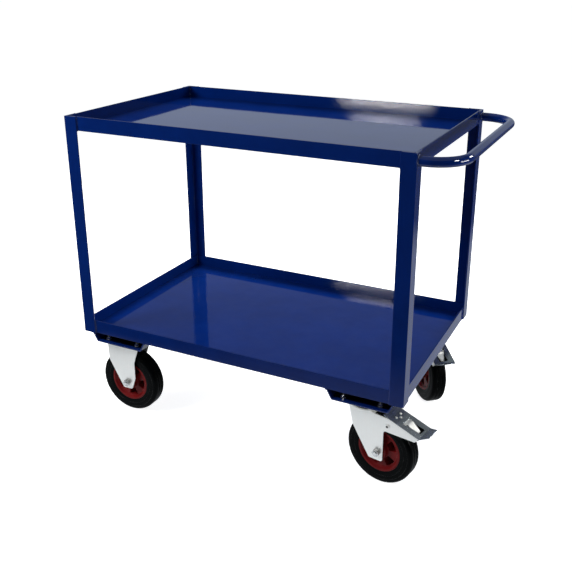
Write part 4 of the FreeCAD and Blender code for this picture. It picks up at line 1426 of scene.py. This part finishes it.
def face_outline(sizes):
    """One face of a wheel centre from the middle of its bore to the tyre's seat, as (radius, place)."""
    face = sizes.spoke_face
    points = rounded_outline([
        (BORE_RADIUS, 0, 0),
        (BORE_RADIUS, HUB_FACE, 0.001),
        (HUB_TOP, HUB_FACE, 0.0015),
        (HUB_FOOT, face, 0.002),
        (DISH_FOOT, face, 0.003),
        (DISH_TOP, LIP_SIDE, 0.0012),
        (LIP_RADIUS, LIP_SIDE, 0.001),
        (LIP_RADIUS, LIP_STEP, 0),
        (SEAT_RADIUS, LIP_STEP, 0),
        (SEAT_RADIUS, 0, 0),
    ], 6)
    between = evenly(POCKET_START[1], POCKET_END[0], 6)[1:-1]
    stops = evenly(*POCKET_START, 10) + between + evenly(*POCKET_END, 10)
    dense = []
    for point, after in zip(points, points[1:]):
        dense.append(point)
        if point.x < POCKET_START[0] and after.x > POCKET_END[1]:
            dense += [Vector((radius, face)) for radius in stops]
    return dense + points[-1:]


def sunk(radius, turn, sizes):
    """How far a pocket goes below the spokes' face at a radius and an angle from the pocket's middle."""
    across = 1 - ramp(abs(turn), sizes.pocket_floor / 2, sizes.pocket_mouth / 2)
    along = ramp(radius, *POCKET_START) * (1 - ramp(radius, *POCKET_END))
    return (2 * sizes.spoke_face - sizes.pocket_skin) * across * along


def sector_mesh(sizes):
    """A sector of a wheel centre, a spoke wide, with a pocket in one face and half of two in the other."""
    pitch = 2 * math.pi / sizes.spokes
    walls = evenly(sizes.pocket_floor / 2, sizes.pocket_mouth / 2, 12)
    turns = evenly(0, pitch / 2, 12) + walls + [pitch / 2 - turn for turn in walls]
    turns = sorted({round(turn, 7) for turn in turns})
    turns = [-turn for turn in reversed(turns[1:])] + turns
    half = face_outline(sizes)
    work = bmesh.new()
    loops = []
    for turn in turns:
        loop = []
        for points, side, away in ((half[1:], -1, abs(turn)), (half[-2::-1], 1, pitch / 2 - abs(turn))):
            for point in points:
                on_face = abs(point.y - sizes.spoke_face) < 1e-7
                height = side * (point.y - (sunk(point.x, away, sizes) if on_face else 0))
                place = Vector((point.x * math.cos(turn), height, point.x * math.sin(turn)))
                loop.append(work.verts.new(place))
        loops.append(loop)
    band(work, loops)
    return mesh_from(work, "wheel_sector")


class TROLLEY_OT_wheels(Operator):
    """Turn the tyres and dress the wheel centres and bearings"""

    bl_idname = "trolley.wheels"
    bl_label = "Wheels"

    def execute(self, context):
        sizes = context.scene.trolley_sizes
        tree = sector_tree()
        for corner in CORNERS:
            body = "wheel_" + corner
            name = "tyre_" + corner + "_turned"
            mesh = turned_mesh(tyre_outline(sizes), name, sizes.round_steps, wheel_place(corner))
            tyre = even_normals(dress(link(name, mesh), finish("tyre_rubber")))
            settle(tyre, body, "black_rubber", "tyre_" + corner)
            centre = grow("wheel_centre_" + corner + "_moulded", sector_mesh(sizes), tree, {
                "Sectors": sizes.spokes,
                "First turn": -math.radians(WHEEL_TURNS[corner]),
                "Finish": finish("moulded_red_plastic"),
            })
            centre.data.transform(wheel_place(corner))
            settle(even_normals(centre), body, "red_plastic", "wheel_centre_" + corner)
            dress(frame["nodes"]["roller_bearing_" + corner], finish("ground_steel"))
        return {"FINISHED"}


def blend_shaders(tree, factor, first, second):
    """Two shaders blended by a factor."""
    return add(tree, "ShaderNodeMixShader", {"Fac": factor, 1: first, 2: second}).outputs["Shader"]


def floor_material():
    """A pale floor: white to the camera where it is lit, dimmer in what gloss shows of it."""
    scene = bpy.context.scene
    light = scene.trolley_light
    material, tree, surface = bare_material("studio_floor")
    ray = add(tree, "ShaderNodeLightPath").outputs
    place = object_place(tree)
    split = parts_of(tree, place)
    # A pool of light by the trolley, a bright skirt round the castors and a dim floor far behind
    away = add(tree, "ShaderNodeVectorMath", {0: place, 1: POOL_MIDDLE}, operation="DISTANCE")
    pool = spread(tree, away.outputs["Value"], 1.0, 1.75, light.floor_level, light.dark_level)
    past_ends = maths(tree, "SUBTRACT", maths(tree, "ABSOLUTE", split["X"]), RIGHT_FACE + SKIRT_PAST_END)
    before = maths(tree, "ABSOLUTE", maths(tree, "SUBTRACT", split["Y"], SKIRT_LINE))
    beyond = maths(tree, "MAXIMUM", past_ends, before)
    skirt = spread(tree, beyond, 0.16, 0.3, light.skirt_level, light.dark_level)
    far = spread(tree, split["Y"], 1.2, 2.2, 0.0, light.far_level)
    shown = maths(tree, "MAXIMUM", far, maths(tree, "MAXIMUM", pool, skirt))
    matt = add(tree, "ShaderNodeBsdfDiffuse", {"Color": (*scene.trolley_colours.floor, 1.0)})
    pale = add(tree, "ShaderNodeBsdfDiffuse", {"Color": (0.8, 0.8, 0.8, 1.0)})
    lift = add(tree, "ShaderNodeEmission", {"Strength": light.floor_lift})
    seen = add(tree, "ShaderNodeAddShader", {0: pale.outputs["BSDF"], 1: lift.outputs["Emission"]})
    glossy = add(tree, "ShaderNodeEmission", {"Color": (0.94, 1.0, 1.06, 1.0), "Strength": shown})
    to_camera = blend_shaders(tree, ray["Is Camera Ray"], matt.outputs["BSDF"], seen.outputs["Shader"])
    join(tree, blend_shaders(tree, ray["Is Glossy Ray"], to_camera, glossy.outputs["Emission"]), surface)
    return material


def build_world():
    """Even light for matt surfaces, white for the camera, and a bright back of the room for gloss."""
    scene = bpy.context.scene
    light = scene.trolley_light
    world = bpy.data.worlds.new("studio")
    world.use_nodes = True
    scene.world = world
    tree = world.node_tree
    tree.nodes.clear()
    output = add(tree, "ShaderNodeOutputWorld")
    ray = add(tree, "ShaderNodeLightPath").outputs
    split = parts_of(tree, add(tree, "ShaderNodeTexCoord").outputs["Generated"])
    height = spread(tree, split["Z"], 0.2, 0.46, light.wall_level, light.wall_top_level)
    behind = spread(tree, split["Y"], -0.1, 0.6, 0.0, 1.0)
    to_left = spread(tree, split["X"], 0.15, 0.5, 1.0, 0.25)
    wall = maths(tree, "MULTIPLY", maths(tree, "MULTIPLY", height, behind), to_left)
    wall = maths(tree, "MAXIMUM", wall, light.dark_level)
    ceiling = spread(tree, split["Z"], 0.58, 0.78, 0.0, light.ceiling_level)
    gloss = maths(tree, "MULTIPLY", maths(tree, "MAXIMUM", wall, ceiling), ray["Is Glossy Ray"])
    even = maths(tree, "MULTIPLY", maths(tree, "SUBTRACT", 1.0, ray["Is Glossy Ray"]), light.ambient)
    strength = maths(tree, "ADD", even, gloss)
    room = add(tree, "ShaderNodeBackground", {"Color": (0.92, 1.02, 1.05, 1.0), "Strength": strength})
    white = add(tree, "ShaderNodeBackground", {"Color": (1.0, 1.0, 1.0, 1.0)})
    shown = blend_shaders(
        tree, ray["Is Camera Ray"], room.outputs["Background"], white.outputs["Background"])
    join(tree, shown, output.inputs["Surface"])


def add_lamp(name, place, target, size, power):
    """An area lamp of a width and a depth, aimed at a point."""
    data = bpy.data.lights.new(name, "AREA")
    data.shape = "RECTANGLE"
    data.size = size[0]
    data.size_y = size[1]
    data.energy = power
    lamp = bpy.data.objects.new(name, data)
    bpy.context.scene.collection.objects.link(lamp)
    lamp.location = place
    lamp.rotation_euler = (Vector(target) - Vector(place)).to_track_quat("-Z", "Y").to_euler()
    return lamp


def build_lamps(light):
    """Three soft lamps on the object, two thin strips and two small lamps that show in gloss alone."""
    key = add_lamp("key_lamp", (-1.7, -1.6, 1.9), FRAME_MIDDLE, (1.0, 0.8), light.key_power)
    add_lamp("side_lamp", (2.6, 0.4, 0.75), HANDLE_END, (1.2, 0.5), light.side_power)
    back = add_lamp("back_lamp", (-0.5, 2.3, 2.0), FRAME_LOW, (2.4, 1.0), light.back_power)
    for lamp in (key, back):
        lamp.visible_glossy = False
    upper_power = light.strip_power * light.strip_share
    strips = (
        add_lamp("low_strip", (-0.68, -2.05, 1.284), BACK_RAILS, (0.62, 0.016), light.strip_power),
        add_lamp("high_strip", (-0.68, -2.05, 1.4), BACK_RAILS, (0.46, 0.016), upper_power),
    )
    for lamp in strips:
        lamp.data.shape = "ELLIPSE"
        lamp.rotation_euler.rotate_axis("Z", STRIP_TILT)
    glints = (
        add_lamp("near_glint", (2.75, -0.5, 2.05), FRONT_CORNER, (0.5, 0.5), light.glint_power),
        add_lamp("far_glint", (2.1, 2.1, 2.0), FRONT_CORNER, (0.5, 0.5), light.glint_power),
    )
    for lamp in strips + glints:
        lamp.visible_diffuse = False


def build_camera(scene):
    """The camera, where the photograph was taken from."""
    data = bpy.data.cameras.new("camera")
    data.sensor_width = SENSOR
    data.sensor_fit = "HORIZONTAL"
    data.lens = LENS
    data.shift_x, data.shift_y = SHIFT
    camera = bpy.data.objects.new("camera", data)
    scene.collection.objects.link(camera)
    turn = Matrix((CAMERA_RIGHT, CAMERA_UP, CAMERA_BEHIND)).transposed().to_4x4()
    camera.matrix_world = Matrix.Translation(CAMERA_PLACE) @ turn
    scene.camera = camera


class TROLLEY_OT_stage(Operator):
    """Lay the floor, light the room and set the camera"""

    bl_idname = "trolley.stage"
    bl_label = "Studio"

    def execute(self, context):
        scene = context.scene
        scene.view_settings.view_transform = "Standard"
        mesh = bpy.data.meshes.new("studio_floor")
        signs = ((-1, -1), (1, -1), (1, 1), (-1, 1))
        mesh.from_pydata([(x * FLOOR_REACH, y * FLOOR_REACH, 0) for x, y in signs], [], [(0, 1, 2, 3)])
        floor = dress(link("studio_floor", mesh), floor_material())
        build_world()
        build_lamps(scene.trolley_light)
        build_camera(scene)
        return {"FINISHED"}


STEPS = (
    TROLLEY_OT_sections,
    TROLLEY_OT_decks,
    TROLLEY_OT_handle,
    TROLLEY_OT_channels,
    TROLLEY_OT_welds,
    TROLLEY_OT_plate_bolts,
    TROLLEY_OT_fixed_castors,
    TROLLEY_OT_swivel_castors,
    TROLLEY_OT_brakes,
    TROLLEY_OT_wheels,
    TROLLEY_OT_stage,
)


class TROLLEY_PT_panel(Panel):
    """The trolley's sizes, colours, light and steps"""

    bl_label = "Shelf trolley"
    bl_space_type = "VIEW_3D"
    bl_region_type = "UI"
    bl_category = "Trolley"

    def draw(self, context):
        scene = context.scene
        for group in (scene.trolley_sizes, scene.trolley_colours, scene.trolley_light):
            box = self.layout.box()
            for name in group.bl_rna.properties.keys():
                if name not in ("rna_type", "name"):
                    box.prop(group, name)
        for step in STEPS:
            self.layout.operator(step.bl_idname)


CLASSES = (TrolleySizes, TrolleyColours, TrolleyLight) + STEPS + (TROLLEY_PT_panel,)


def register():
    """Register the classes and hang the settings on the scene."""
    for item in CLASSES:
        bpy.utils.register_class(item)
    bpy.types.Scene.trolley_sizes = PointerProperty(type=TrolleySizes)
    bpy.types.Scene.trolley_colours = PointerProperty(type=TrolleyColours)
    bpy.types.Scene.trolley_light = PointerProperty(type=TrolleyLight)


def unregister():
    """Take the settings off the scene and unregister the classes."""
    del bpy.types.Scene.trolley_light
    del bpy.types.Scene.trolley_colours
    del bpy.types.Scene.trolley_sizes
    for item in reversed(CLASSES):
        bpy.utils.unregister_class(item)


def main():
    """Build every piece in order."""
    register()
    bpy.ops.trolley.sections()
    bpy.ops.trolley.decks()
    bpy.ops.trolley.handle()
    bpy.ops.trolley.channels()
    bpy.ops.trolley.welds()
    bpy.ops.trolley.plate_bolts()
    bpy.ops.trolley.fixed_castors()
    bpy.ops.trolley.swivel_castors()
    bpy.ops.trolley.brakes()
    bpy.ops.trolley.wheels()
    bpy.ops.trolley.stage()


if __name__ == "__main__":
    main()
